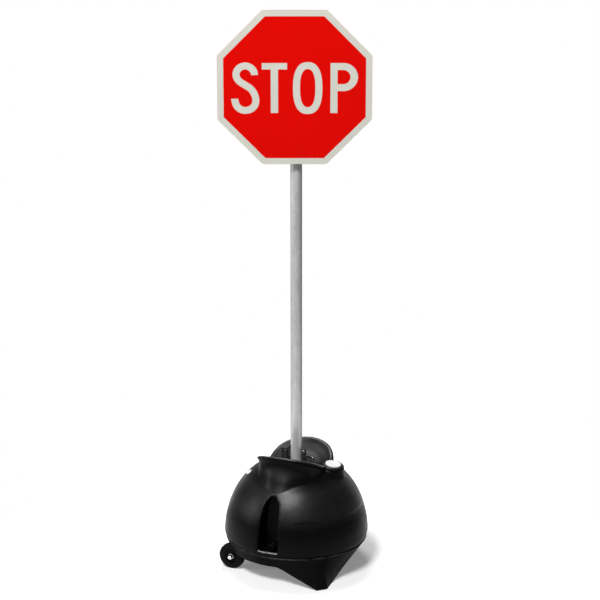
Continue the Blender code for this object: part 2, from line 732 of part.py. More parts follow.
def build_plugs(white, rubber, black):
    cap_frame = empty("filler_axis", (BOSS_X, BOSS_Y, BOSS_TOP_Z), (0, BOSS_LEAN, 0))
    low = -CAP_SINK + SEAL_THICK + 2 * GAP
    cap_profile = [(0, low - CAP_STEM_LENGTH), (CAP_STEM_RADIUS - GAP, low - CAP_STEM_LENGTH),
                   (CAP_STEM_RADIUS - GAP, low), (CAP_RADIUS, low), (CAP_RADIUS, low + CAP_THICK - 0.002),
                   (CAP_RADIUS - 0.002, low + CAP_THICK), (0, low + CAP_THICK)]
    add_object("filler_cap", revolve_mesh("filler_cap", cap_profile, 36), white, cap_frame)
    seal_low = -CAP_SINK + GAP
    add_object("filler_cap_seal", revolve_mesh("filler_cap_seal", tube_profile(
        CAP_RADIUS - 0.001, SEAL_INNER, seal_low, seal_low + SEAL_THICK), 32), rubber, cap_frame)
    vent_profile = [(0, -VENT_STEM_LENGTH), (VENT_STEM_RADIUS - GAP, -VENT_STEM_LENGTH),
                    (VENT_STEM_RADIUS - GAP, GAP), (VENT_HEAD_RADIUS, GAP),
                    (VENT_HEAD_RADIUS, VENT_HEAD_THICK - 0.0015),
                    (VENT_HEAD_RADIUS - 0.0015, VENT_HEAD_THICK), (0, VENT_HEAD_THICK)]
    vent = add_object("vent_plug", revolve_mesh("vent_plug", vent_profile, 20), white)
    vent.matrix_world = vent_place()
    face_y = SLOT_BACK_Y - DRAIN_BOSS_LENGTH
    drain_frame = empty("drain_axis", (SLOT_X, face_y, DRAIN_Z), (math.pi / 2, 0, 0))
    seal_profile = tube_profile(DRAIN_RADIUS - 0.002, DRAIN_STEM_RADIUS + GAP, GAP, GAP + DRAIN_SEAL_THICK)
    add_object("drain_plug_seal", revolve_mesh("drain_plug_seal", seal_profile, 24), rubber, drain_frame)
    start = 2 * GAP + DRAIN_SEAL_THICK
    drain_profile = [(0, start - DRAIN_STEM_LENGTH), (DRAIN_STEM_RADIUS - GAP, start - DRAIN_STEM_LENGTH),
                     (DRAIN_STEM_RADIUS - GAP, start), (DRAIN_RADIUS, start),
                     (DRAIN_RADIUS, start + DRAIN_THICK - 0.003),
                     (DRAIN_RADIUS - 0.003, start + DRAIN_THICK),
                     (DRAIN_DIMPLE_RADIUS, start + DRAIN_THICK),
                     (DRAIN_DIMPLE_RADIUS, start + DRAIN_THICK - 0.006),
                     (0, start + DRAIN_THICK - 0.006)]
    add_object("drain_plug", revolve_mesh("drain_plug", drain_profile, 24), black, drain_frame)


def wheel_spin_frame(side):
    """Frame of a wheel with its Z pointing out of the base, origin on the wheel's outer face."""
    sign = -1 if side == "front" else 1
    return empty("wheel_axis_" + side, (WHEEL_X, sign * WHEEL_FACE_Y, WHEEL_Z),
                 (sign * -math.pi / 2, 0, 0))


def build_running_gear(rubber, plastic, steel, chrome, black_steel):
    tray = add_object("ballast_tray", tray_mesh(), plastic, smooth=32)
    arch_radius = WHEEL_RADIUS + WHEEL_ARCH_GAP
    inner_y = WHEEL_FACE_Y - WHEEL_WIDTH - WHEEL_ARCH_GAP
    arch_width = WHEEL_WIDTH + 2 * WHEEL_ARCH_GAP
    for side, sign in (("front", -1), ("back", 1)):
        arch = cutter("wheel_arch_" + side, revolve_mesh("arch", rod_profile(arch_radius, 0, arch_width), 40),
                      (WHEEL_X, sign * inner_y, WHEEL_Z), (sign * -math.pi / 2, 0, 0))
        combine(tray, arch)
    bore_r = AXLE_RADIUS + AXLE_CLEARANCE
    bore = cutter("axle_bore", revolve_mesh("bore", rod_profile(bore_r, -0.4, 0.4), 24),
                  (WHEEL_X, 0, WHEEL_Z), (math.pi / 2, 0, 0))
    patch_y = -TRAY_BOTTOM_RADIUS - 0.006 + TRAY_PATCH_DEPTH
    combine(tray, cutter("tray_patch", box_mesh(
        "tray_patch", (SLOT_X - SLOT_OUTLINE[0][1], -0.4, TRAY_PATCH_LOW_Z),
        (SLOT_X + SLOT_OUTLINE[0][1], patch_y, TRAY_PATCH_HIGH_Z))))
    for side, sign in (("front", -1), ("back", 1)):
        low = (WHEEL_X - HANGER_HALF_X, sign * HANGER_Y - HANGER_THICK / 2, HANGER_LOW_Z)
        high = (WHEEL_X + HANGER_HALF_X, sign * HANGER_Y + HANGER_THICK / 2, HANGER_TOP_Z)
        hanger = add_object("axle_hanger_" + side, box_mesh("hanger", low, high), black_steel)
        combine(hanger, bore)
        combine(tray, cutter("hanger_slot_" + side, box_mesh(
            "hanger_slot", (low[0] - GAP, low[1] - GAP, low[2] - 0.01), tuple(c + GAP for c in high))))
    half = WHEEL_FACE_Y + AXLE_END
    add_object("axle", revolve_mesh("axle", rod_profile(AXLE_RADIUS, -half, half, 0.001), 24), steel,
               None, (WHEEL_X, 0, WHEEL_Z), (math.pi / 2, 0, 0))
    for side in ("front", "back"):
        frame = wheel_spin_frame(side)
        roll = 0.006
        tyre_profile = [(HUB_RADIUS + GAP, -WHEEL_WIDTH), (WHEEL_RADIUS - roll, -WHEEL_WIDTH)]
        tyre_profile += arc((WHEEL_RADIUS - roll, -WHEEL_WIDTH + roll), roll, -math.pi / 2, 0, 2)[1:]
        tyre_profile += arc((WHEEL_RADIUS - roll, -roll), roll, 0, math.pi / 2, 2)
        tyre_profile += [(HUB_RADIUS + GAP, 0)]
        add_object("tyre_" + side, revolve_mesh("tyre", tyre_profile, 36), rubber, frame)
        rim = HUB_RADIUS - 0.003
        inner_end = -WHEEL_WIDTH - HUB_BOSS_PROUD
        hub_profile = [(bore_r, inner_end), (HUB_BOSS_RADIUS, inner_end),
                       (HUB_BOSS_RADIUS, -WHEEL_WIDTH + HUB_DISH), (rim - 0.001, -WHEEL_WIDTH + HUB_DISH),
                       (rim, -WHEEL_WIDTH), (HUB_RADIUS, -WHEEL_WIDTH), (HUB_RADIUS, 0),
                       (rim, 0), (rim - 0.001, -HUB_DISH), (HUB_BOSS_RADIUS, -HUB_DISH),
                       (HUB_BOSS_RADIUS, 0), (bore_r, 0)]
        add_object("hub_" + side, revolve_mesh("hub", hub_profile, 20), plastic, frame)
        washer_profile = tube_profile(WASHER_RADIUS, bore_r, GAP, GAP + WASHER_THICK)
        add_object("wheel_washer_" + side, revolve_mesh("washer", washer_profile, 20), steel, frame)
        start = 2 * GAP + WASHER_THICK
        shoulder = AXLE_END + GAP
        dome = arc((0, shoulder), AXLE_NUT_RADIUS, 0, math.pi / 2, 4)[:-1]
        dome = [(r, shoulder + (z - shoulder) * AXLE_NUT_CROWN / AXLE_NUT_RADIUS) for r, z in dome]
        nut_profile = [(bore_r, start), (AXLE_NUT_RADIUS, start)] + dome
        nut_profile += [(0, shoulder + AXLE_NUT_CROWN), (0, shoulder), (bore_r, shoulder)]
        add_object("hub_cap_nut_" + side, revolve_mesh("hub_nut", nut_profile, 16), chrome, frame)
    return tray


def build_socket(steel, plastic):
    foot = POST_FOOT_Z - GAP
    inside = SOCKET_RADIUS - SOCKET_WALL
    socket_profile = [(0, foot - SOCKET_BASE_THICK), (SOCKET_RADIUS, foot - SOCKET_BASE_THICK),
                      (SOCKET_RADIUS, SOCKET_TOP_Z), (inside, SOCKET_TOP_Z), (inside, foot), (0, foot)]
    add_object("post_socket", revolve_mesh("post_socket", socket_profile, 40), steel)
    inner = POST_RADIUS + GAP
    outer = inside - GAP
    head = SOCKET_TOP_Z + GAP
    sleeve_profile = [(inner, foot + GAP), (outer, foot + GAP), (outer, head), (SLEEVE_HEAD_RADIUS, head),
                      (SLEEVE_HEAD_RADIUS, head + SLEEVE_HEAD_THICK), (inner, head + SLEEVE_HEAD_THICK)]
    add_object("adaptor_sleeve", revolve_mesh("adaptor_sleeve", sleeve_profile, 36), plastic)


def build_clamp(black_steel, zinc, chrome):
    """The steel plate in the valley, the keeper on the wheel side and the lever on the filler side."""
    plate = add_object("clamp_plate", box_mesh(
        "clamp_plate", (PLATE_LEFT_X, -PLATE_HALF_DEPTH, PLATE_Z),
        (PLATE_RIGHT_X, PLATE_HALF_DEPTH, PLATE_Z + PLATE_THICK)), black_steel)
    combine(plate, cutter("plate_hole", revolve_mesh(
        "plate_hole", rod_profile(SOCKET_RADIUS + GAP, -0.02, 0.02), 40), (0, 0, PLATE_Z)))
    top = PLATE_Z + PLATE_THICK
    for index, (x, y) in enumerate(plate_bolt_places()):
        hole = revolve_mesh("plate_bolt_hole", rod_profile(BOLT_RADIUS + GAP, -0.02, 0.02), 16)
        combine(plate, cutter("plate_bolt_hole_%d" % index, hole, (x, y, top)))
        profile = [(0, -BOLT_LENGTH), (BOLT_RADIUS, -BOLT_LENGTH), (BOLT_RADIUS, GAP),
                   (BOLT_HEAD_RADIUS, GAP), (BOLT_HEAD_RADIUS, BOLT_HEAD_THICK), (0, BOLT_HEAD_THICK)]
        add_object("plate_bolt_%d" % (index + 1), revolve_mesh("bolt", profile, 12), zinc, None, (x, y, top))
    stand = top + GAP
    half_x, half_y = BRACKET_WIDTH / 2, BRACKET_DEPTH / 2
    inner_y = half_y - BRACKET_WALL
    section = [(-half_y, stand), (-inner_y, stand), (-inner_y, BRACKET_TOP_Z - BRACKET_WALL),
               (inner_y, BRACKET_TOP_Z - BRACKET_WALL), (inner_y, stand), (half_y, stand),
               (half_y, BRACKET_TOP_Z), (-half_y, BRACKET_TOP_Z)]
    mesh = prism_mesh("keeper_bracket", section, -half_x, half_x)
    mesh.transform(Matrix(((0, 0, 1, 0), (1, 0, 0, 0), (0, 1, 0, 0), (0, 0, 0, 1))))
    bracket = add_object("keeper_bracket", mesh, black_steel, None, (BRACKET_X, BRACKET_Y, 0))
    combine(bracket, cutter("bracket_hole", revolve_mesh(
        "bracket_hole", rod_profile(BRACKET_HOLE_RADIUS, -0.01, 0.01), 20),
        (BRACKET_X + 0.004, BRACKET_Y, BRACKET_TOP_Z)))
    pin_place = (KEEPER_PIN_X, BRACKET_Y, KEEPER_PIN_Z)
    across = (math.pi / 2, 0, 0)
    combine(bracket, cutter("pin_hole", revolve_mesh(
        "pin_hole", rod_profile(KEEPER_PIN_RADIUS + GAP, -0.04, 0.04), 16), pin_place, across))
    pin_half = half_y + 0.002
    add_object("keeper_pin", revolve_mesh("keeper_pin", rod_profile(
        KEEPER_PIN_RADIUS, -pin_half, pin_half, 0.0006), 16), zinc, None, pin_place, across)
    keeper_frame = empty("keeper_axis", pin_place, (0, keeper_lean(), 0))
    eye = arc((0, 0), KEEPER_EYE_RADIUS, math.radians(-30), math.radians(210), 10)
    outline = eye + [(-KEEPER_THICK / 2, -KEEPER_LENGTH), (KEEPER_THICK / 2, -KEEPER_LENGTH)]
    mesh = prism_mesh("keeper_bar", outline, -KEEPER_WIDTH / 2, KEEPER_WIDTH / 2)
    mesh.transform(Matrix(((1, 0, 0, 0), (0, 0, 1, 0), (0, 1, 0, 0), (0, 0, 0, 1))))
    outward(mesh)
    keeper = add_object("keeper_bar", mesh, zinc, keeper_frame)
    combine(keeper, cutter("keeper_eye", revolve_mesh("keeper_eye", rod_profile(
        KEEPER_PIN_RADIUS + GAP, -0.02, 0.02), 16, 0.5), (0, 0, 0), across, keeper_frame))
    lug_low, lug_high = LUG_Y - LUG_THICK / 2, LUG_Y + LUG_THICK / 2
    lug = add_object("lever_lug", box_mesh("lever_lug", (LUG_X - LUG_WIDTH / 2, lug_low, stand),
                                           (LUG_X + LUG_WIDTH / 2, lug_high, LUG_TOP_Z)), black_steel)
    combine(lug, cutter("lug_relief", revolve_mesh("lug_relief", rod_profile(
        SLEEVE_HEAD_RADIUS + LUG_RELIEF, stand - 0.01, SOCKET_TOP_Z + SLEEVE_HEAD_THICK + LUG_RELIEF), 48)))
    pivot = (LUG_X, LUG_Y, LEVER_PIVOT_Z)
    combine(lug, cutter("lug_hole", revolve_mesh("lug_hole", rod_profile(
        LEVER_BOLT_RADIUS + GAP, -0.02, 0.02), 20), pivot, across))
    lever_frame = empty("lever_axis", pivot)
    start = LUG_THICK / 2 + GAP
    leg = LEVER_LEG / 2
    outline = [(-leg, 0)] + arc((0, 0), leg, math.pi, 0, 8)[1:] + [
        (leg, -LEVER_DROP + leg), (LEVER_REACH - leg, -LEVER_DROP + leg)]
    outline += arc((LEVER_REACH - leg, -LEVER_DROP), leg, math.pi / 2, -math.pi / 2, 8)[1:]
    outline += [(0, -LEVER_DROP - leg)] + arc((0, -LEVER_DROP), leg, -math.pi / 2, -math.pi, 4)[1:]
    mesh = prism_mesh("clamp_lever", outline, -start - LEVER_THICK, -start)
    mesh.transform(Matrix(((1, 0, 0, 0), (0, 0, 1, 0), (0, 1, 0, 0), (0, 0, 0, 1))))
    outward(mesh)
    lever = add_object("clamp_lever", mesh, black_steel, lever_frame)
    combine(lever, cutter("lever_eye", revolve_mesh("lever_eye", rod_profile(
        LEVER_BOLT_RADIUS + GAP, -0.03, 0.03), 20, 0.5), (0, 0, 0), across, lever_frame))
    stud_place = (LEVER_REACH - leg, 0, -LEVER_DROP)
    combine(lever, cutter("stud_hole", revolve_mesh("stud_hole", rod_profile(
        LEVER_STUD_RADIUS + GAP, -0.03, 0.03), 16, 0.5), stud_place, across, lever_frame))
    head = start + LEVER_THICK + GAP
    stud_head = LEVER_STUD_RADIUS + 0.002
    stud_profile = [(0, start), (LEVER_STUD_RADIUS, start), (LEVER_STUD_RADIUS, head), (stud_head, head),
                    (stud_head, head + 0.003), (0, head + 0.003)]
    add_object("lever_stud", revolve_mesh("lever_stud", stud_profile, 16), chrome, lever_frame,
               stud_place, across)
    tail = LUG_THICK / 2 + GAP
    bolt_profile = [(0, -tail - LEVER_HEAD_THICK), (LEVER_BOLT_RADIUS, -tail - LEVER_HEAD_THICK),
                    (LEVER_BOLT_RADIUS, head), (LEVER_HEAD_RADIUS, head),
                    (LEVER_HEAD_RADIUS, head + LEVER_HEAD_THICK - 0.001),
                    (LEVER_HEAD_RADIUS - 0.001, head + LEVER_HEAD_THICK), (0, head + LEVER_HEAD_THICK)]
    add_object("lever_bolt", revolve_mesh("lever_bolt", bolt_profile, 20), chrome, None, pivot, across)
    nut = hex_nut("lever_nut", LEVER_HEAD_RADIUS, LEVER_BOLT_RADIUS + GAP, LEVER_HEAD_THICK - 0.001)
    add_object("lever_nut", nut, chrome, None, (LUG_X, LUG_Y + tail, LEVER_PIVOT_Z), (-math.pi / 2, 0, 0))


def keeper_lean():
    """Angle at which the bar's lower end comes to the post."""
    return -math.asin((abs(KEEPER_PIN_X) - POST_RADIUS - KEEPER_THICK - 0.0004) / KEEPER_LENGTH)


def hex_nut(name, radius, bore, thick):
    """A six sided nut on Z from zero up, with a round bore."""
    steps = 12
    outer = []
    for step in range(steps):
        angle = 2 * math.pi * step / steps
        within = (angle + math.pi / 6) % (math.pi / 3) - math.pi / 6
        outer.append((radius * math.cos(math.pi / 6) / math.cos(within), angle))
    points = []
    for height in (0.0, thick):
        points += [(r * math.cos(a), r * math.sin(a), height) for r, a in outer]
        points += [(bore * math.cos(a), bore * math.sin(a), height) for r, a in outer]
    faces = []
    for step in range(steps):
        nxt = (step + 1) % steps
        low_out, low_in, high_out, high_in = 0, steps, 2 * steps, 3 * steps
        faces.append((low_out + step, low_out + nxt, high_out + nxt, high_out + step))
        faces.append((low_in + step, low_in + nxt, high_in + nxt, high_in + step))
        faces.append((low_out + step, low_out + nxt, low_in + nxt, low_in + step))
        faces.append((high_out + step, high_out + nxt, high_in + nxt, high_in + step))
    return mesh_from(name, points, faces)


def outward(mesh):
    """Turn a mesh's faces outwards again after a transform that mirrors it."""
    shape = bmesh.new()
    shape.from_mesh(mesh)
    if shape.calc_volume(signed=True) < 0:
        bmesh.ops.reverse_faces(shape, faces=shape.faces)
    shape.to_mesh(mesh)
    shape.free()


def build_post(steel, black):
    frame = empty("post_axis", rotation=(0, 0, SIGN_TURN))
    top = SIGN_CENTRE_Z + SIGN_WIDTH / 2 - POST_TOP_MARGIN
    add_object("post", revolve_mesh("post", tube_profile(
        POST_RADIUS, POST_RADIUS - POST_WALL, POST_FOOT_Z, top), 40), steel, frame)
    cap_in = POST_RADIUS + GAP
    cap_out = cap_in + POST_CAP_WALL
    cap_profile = [(cap_in, top - POST_CAP_SKIRT), (cap_out, top - POST_CAP_SKIRT),
                   (cap_out, top + GAP), (cap_out - 0.002, top + POST_CAP_WALL + 0.001),
                   (0, top + POST_CAP_WALL + 0.001), (0, top + GAP), (cap_in, top + GAP)]
    add_object("post_cap", revolve_mesh("post_cap", cap_profile, 28), black, frame)
    return frame


def build_sign(frame, alu, sheeting, zinc):
    saddle_front = -(POST_RADIUS + GAP) - SADDLE_THICK
    rail_back = saddle_front - GAP
    rail_front = rail_back - RAIL_DEPTH
    blade_back = rail_front - GAP
    blade_front = blade_back - BLADE_THICK
    outline = rounded_polygon(8, SIGN_WIDTH, SIGN_CORNER, 4)
    facing = (math.pi / 2, 0, 0)
    add_object("sign_blade", prism_mesh("sign_blade", outline, 0, BLADE_THICK), alu, frame,
               (SIGN_SHIFT, blade_back, SIGN_CENTRE_Z), facing)
    add_object("reflective_sheeting", prism_mesh("reflective_sheeting", rounded_polygon(
        8, SIGN_WIDTH - 2 * GAP, SIGN_CORNER, 4), 0, SHEET_THICK), sheeting, frame,
        (SIGN_SHIFT, blade_front - GAP, SIGN_CENTRE_Z), facing)
    arm_x = POST_RADIUS + GAP + UBOLT_RADIUS
    for side, sign in (("upper", 1), ("lower", -1)):
        z = SIGN_CENTRE_Z + sign * RAIL_SPACING / 2
        foot, web = RAIL_HEIGHT / 2, RAIL_WEB_HEIGHT / 2
        # Hat section, open to the blade: two flanges on the blade, two walls and a web on the saddle
        section = [(rail_front, -foot), (rail_front + RAIL_WALL, -foot), (rail_front + RAIL_WALL, -web),
                   (rail_back, -web), (rail_back, web), (rail_front + RAIL_WALL, web),
                   (rail_front + RAIL_WALL, foot), (rail_front, foot), (rail_front, web - RAIL_WALL),
                   (rail_back - RAIL_WALL, web - RAIL_WALL), (rail_back - RAIL_WALL, -web + RAIL_WALL),
                   (rail_front, -web + RAIL_WALL)]
        mesh = prism_mesh("rail", section, -RAIL_LENGTH / 2, RAIL_LENGTH / 2)
        mesh.transform(Matrix(((0, 0, 1, 0), (1, 0, 0, 0), (0, 1, 0, 0), (0, 0, 0, 1))))
        rail = add_object("sign_rail_" + side, mesh, alu, frame, (0, 0, z))
        block = box_mesh("saddle", (-SADDLE_WIDTH / 2, saddle_front, -SADDLE_HEIGHT / 2),
                         (SADDLE_WIDTH / 2, saddle_front + SADDLE_THICK + SADDLE_HORN, SADDLE_HEIGHT / 2))
        saddle = add_object("post_saddle_" + side, block, zinc, frame, (0, 0, z))
        combine(saddle, cutter("saddle_seat_" + side, revolve_mesh(
            "seat", rod_profile(POST_RADIUS + GAP, -0.05, 0.05), 48), (0, 0, z), parent=frame))
        tail = rail_back - RAIL_WALL - GAP - NUT_THICK - UBOLT_TAIL
        path = [(arm_x, tail)] + arc((0, 0), arm_x, 0, math.pi, 12) + [(-arm_x, tail)]
        ubolt = tube_along("u_bolt_" + side, [(x, y, 0) for x, y in path], UBOLT_RADIUS, 8)
        add_object("u_bolt_" + side, ubolt, zinc, frame, (0, 0, z))
        for hand, spot in (("left", -1), ("right", 1)):
            hole = cutter("leg_hole_%s_%s" % (side, hand), revolve_mesh(
                "hole", rod_profile(UBOLT_RADIUS + GAP, -0.008, 0.06), 20),
                (spot * arm_x, 0, z), facing, frame)
            combine(saddle, hole)
            combine(rail, hole)
            nut = hex_nut("nut", NUT_RADIUS, UBOLT_RADIUS + GAP, NUT_THICK)
            add_object("u_bolt_nut_%s_%s" % (side, hand), nut, zinc, frame,
                       (spot * arm_x, rail_back - RAIL_WALL - GAP, z), facing)


def tube_along(name, path, radius, sides):
    """A round rod along a flat path in X and Y, with square ends."""
    points = []
    count = len(path)
    for index, (x, y, z) in enumerate(path):
        before = Vector(path[max(index - 1, 0)])
        after = Vector(path[min(index + 1, count - 1)])
        along = (after - before).normalized()
        side = Vector((along.y, -along.x, 0))
        for step in range(sides):
            angle = 2 * math.pi * step / sides
            offset = side * math.cos(angle) * radius + Vector((0, 0, 1)) * math.sin(angle) * radius
            points.append(tuple(Vector((x, y, z)) + offset))
    faces = [tuple(range(sides)), tuple(range((count - 1) * sides, count * sides))]
    for index in range(count - 1):
        a = index * sides
        b = a + sides
        for step in range(sides):
            nxt = (step + 1) % sides
            faces.append((a + step, a + nxt, b + nxt, b + step))
    return mesh_from(name, points, faces)


def main():
    clear_scene()
    black_plastic = material("Black moulded plastic", (0.012, 0.012, 0.013), 0.38)
    rubber = material("Black rubber", (0.02, 0.02, 0.02), 0.75)
    white_plastic = material("White plastic", (0.85, 0.85, 0.85), 0.35)
    galvanised = material("Galvanised steel", (0.45, 0.47, 0.48), 0.45, 0.9)
    zinc = material("Zinc plated steel", (0.62, 0.62, 0.60), 0.35, 1.0)
    chrome = material("Bright plated steel", (0.8, 0.8, 0.8), 0.15, 1.0)
    black_steel = material("Black painted steel", (0.02, 0.02, 0.02), 0.45, 0.2)
    aluminium = material("Sheet aluminium", (0.65, 0.66, 0.67), 0.4, 1.0)
    sheeting = material("Red reflective sheeting", (0.75, 0.01, 0.005), 0.3)
    build_tank(black_plastic)
    build_plugs(white_plastic, rubber, black_plastic)
    build_running_gear(rubber, black_plastic, zinc, chrome, black_steel)
    build_socket(galvanised, black_plastic)
    build_clamp(black_steel, zinc, chrome)
    frame = build_post(galvanised, black_plastic)
    build_sign(frame, aluminium, sheeting, zinc)
    ground = empty("ground_frame", (0, 0, GROUND_DROP))
    for obj in bpy.data.objects:
        if obj.parent is None and obj is not ground:
            obj.parent = ground


main()
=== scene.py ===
"""Portable stop sign: an octagonal sign on a galvanised post, in a wheeled base of black plastic."""

import json
import math

import bmesh
import bpy
import numpy as np
from mathutils import Matrix, Vector

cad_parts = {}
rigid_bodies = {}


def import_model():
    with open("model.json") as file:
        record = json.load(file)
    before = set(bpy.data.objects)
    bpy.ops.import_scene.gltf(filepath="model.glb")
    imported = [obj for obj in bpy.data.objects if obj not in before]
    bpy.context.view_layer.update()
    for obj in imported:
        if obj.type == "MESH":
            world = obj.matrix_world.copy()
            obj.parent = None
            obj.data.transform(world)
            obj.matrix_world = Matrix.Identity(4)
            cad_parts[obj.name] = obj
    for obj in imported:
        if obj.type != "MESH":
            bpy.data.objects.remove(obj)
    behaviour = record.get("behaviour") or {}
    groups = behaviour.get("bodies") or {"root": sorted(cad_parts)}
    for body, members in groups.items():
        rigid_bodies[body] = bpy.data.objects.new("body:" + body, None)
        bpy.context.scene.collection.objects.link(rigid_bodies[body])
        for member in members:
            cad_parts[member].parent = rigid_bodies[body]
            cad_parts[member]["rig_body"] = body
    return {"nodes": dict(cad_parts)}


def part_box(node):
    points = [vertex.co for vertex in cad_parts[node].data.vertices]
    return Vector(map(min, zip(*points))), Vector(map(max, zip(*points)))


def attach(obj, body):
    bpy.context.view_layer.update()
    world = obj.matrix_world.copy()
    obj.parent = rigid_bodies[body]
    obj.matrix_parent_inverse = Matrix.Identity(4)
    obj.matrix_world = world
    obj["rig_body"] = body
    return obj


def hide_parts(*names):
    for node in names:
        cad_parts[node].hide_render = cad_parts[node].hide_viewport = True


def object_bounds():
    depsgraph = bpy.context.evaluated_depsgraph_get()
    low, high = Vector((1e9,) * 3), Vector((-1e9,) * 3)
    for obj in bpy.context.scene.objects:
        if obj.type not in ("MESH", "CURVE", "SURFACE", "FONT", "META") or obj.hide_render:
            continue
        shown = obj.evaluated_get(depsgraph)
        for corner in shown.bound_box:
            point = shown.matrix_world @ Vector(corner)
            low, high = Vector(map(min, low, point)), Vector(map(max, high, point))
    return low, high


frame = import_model()
cad_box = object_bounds()
cad = frame["nodes"]


# The tank is a dome of black polyethylene, moulded in one piece with its two hand lips, the wall under
# them and the filler boss. The moulding is smooth and a little wavy, with a faint orange peel, and its
# black drifts in slow patches. Sun and hands have given the top and the rims a soft sheen.
class Wire:
    """One output of a shader node, so that sums and products of outputs read as sums and products."""

    def __init__(self, tree, socket=None):
        self.tree = tree
        self.socket = socket

    def node(self, kind, settings=None, inputs=None, output=0):
        """Adds a node: its own settings first, then a value or a Wire for each of its sockets."""
        made = self.tree.nodes.new(kind)
        for key, value in (settings or {}).items():
            setattr(made, key, value)
        for key, value in (inputs or {}).items():
            if isinstance(value, Wire):
                self.tree.links.new(value.socket, made.inputs[key])
            else:
                made.inputs[key].default_value = value
        return Wire(self.tree, made.outputs[output])

    def _sum(self, operation, first, second=0.0, third=0.0):
        return self.node("ShaderNodeMath", {"operation": operation}, {0: first, 1: second, 2: third})

    def __add__(self, other):
        return self._sum("ADD", self, other)

    def __radd__(self, other):
        return self._sum("ADD", other, self)

    def __sub__(self, other):
        return self._sum("SUBTRACT", self, other)

    def __rsub__(self, other):
        return self._sum("SUBTRACT", other, self)

    def __mul__(self, other):
        return self._sum("MULTIPLY", self, other)

    def __rmul__(self, other):
        return self._sum("MULTIPLY", other, self)

    def __pow__(self, other):
        return self._sum("POWER", self, other)

    def __abs__(self):
        return self._sum("ABSOLUTE", self)

    def sine(self):
        return self._sum("SINE", self)

    def between(self, low, high):
        """0 below low, 1 above high, and a straight rise from one to the other."""
        return self.node("ShaderNodeMapRange", {"clamp": True},
                         {"Value": self, "From Min": low, "From Max": high})

    def shade(self, low, high):
        """A colour that goes from low to high, each a colour or a Wire, as this value goes from 0 to 1."""
        low, high = (c if isinstance(c, Wire) else (*c, 1.0) for c in (low, high))
        return self.node("ShaderNodeMix", {"data_type": "RGBA"},
                         {"Factor": self, "A": low, "B": high}, "Result")


class Finish:
    """A material with its Principled shader, and the place on the object that its patterns read."""

    def __init__(self, name, **fixed):
        self.material = bpy.data.materials.new(name)
        self.material.use_nodes = True
        self.tree = self.material.node_tree
        self.shader = self.tree.nodes["Principled BSDF"]
        for key, value in fixed.items():
            self.shader.inputs[key.replace("_", " ")].default_value = value
        self.start = Wire(self.tree)
        self.place = self.start.node("ShaderNodeTexCoord", output="Object")

    def grain(self, size, detail=2.0, rough=0.5, stretch=(1, 1, 1), turn=(0, 0, 0)):
        """Noise whose lumps are about size metres across, drawn out by stretch."""
        scale = tuple(s * size for s in stretch)
        where = self.start.node("ShaderNodeMapping", {"vector_type": "TEXTURE"},
                                {"Vector": self.place, "Rotation": turn, "Scale": scale})
        return self.start.node("ShaderNodeTexNoise", None,
                               {"Vector": where, "Scale": 1.0, "Detail": detail, "Roughness": rough})

    def axis(self, letter):
        """One coordinate of the place on the object, in metres."""
        return self.start.node("ShaderNodeSeparateXYZ", None, {0: self.place}, letter)

    def feed(self, **links):
        """Leads each Wire to the shader's socket of that name, with _ for a space."""
        for key, wire in links.items():
            self.tree.links.new(wire.socket, self.shader.inputs[key.replace("_", " ")])

    def relief(self, *layers):
        """Stacks bumps, each given as a height from 0 to 1, its depth in metres and its strength."""
        normal = None
        for height, depth, strength in layers:
            inputs = {"Height": height, "Distance": depth, "Strength": strength}
            if normal is not None:
                inputs["Normal"] = normal
            normal = self.start.node("ShaderNodeBump", None, inputs)
        self.feed(Normal=normal)


def moulded_black(name, roughness=0.42, waves=0.045, sheen=None, pale_line=None):
    """Black polyethylene: slow patches of tone, fine orange peel and slow waves, scuffed paler low down.

    Where sheen gives two heights, the skin above them that faces up has a soft sheen, more on the handled
    rims. The rest, and the wall under the rims, is dull. pale_line gives, as a Wire of the finish, where a
    pale colour is laid on: on the tray's rim this is a painted highlight.
    """
    made = Finish(name, IOR=1.22, Specular_IOR_Level=0.18, Coat_Roughness=0.41, Coat_IOR=1.5)
    patch = made.grain(0.05, 3.0, 0.55)
    speck = made.grain(0.0034, 2.0, 0.6)
    scuff = made.grain(0.012, 4.0, 0.7, (1, 1, 0.35)).between(0.60, 0.78)
    height = made.axis("Z")
    wear = scuff * (1 - height.between(0.02, 0.11) * 0.8)
    skin = patch.shade((0.0013, 0.0013, 0.0015), (0.0038, 0.0038, 0.0042))
    tone = (wear * 0.6).shade(skin, (0.018, 0.0175, 0.017))
    # pale_line lays a pale colour over the tone: a painted highlight along the tray's rim, and a pale line
    # on the tank's recess sill.
    if pale_line is not None:
        tone = pale_line(made).shade(tone, (0.30, 0.295, 0.29))
    made.feed(Base_Color=tone, Roughness=roughness + (patch - 0.5) * 0.16 + wear * 0.18)
    if sheen is not None:
        normal = made.start.node("ShaderNodeTexCoord", output="Normal")
        facing_up = made.start.node("ShaderNodeSeparateXYZ", None, {0: normal}, "Z").between(0.08, 0.42)
        on_rims = height.between(0.422, 0.452)
        from_post = (made.axis("X") * made.axis("X") + made.axis("Y") * made.axis("Y")) ** 0.5
        shine = from_post.between(0.175, 0.215) * (0.36 + patch * 0.60) + on_rims * 0.95
        made.feed(Coat_Weight=height.between(*sheen) * facing_up * shine)
    made.relief((made.grain(waves, 1.0, 0.4), 0.0016, 0.30), (speck, 0.00030, 0.5))
    return made.material


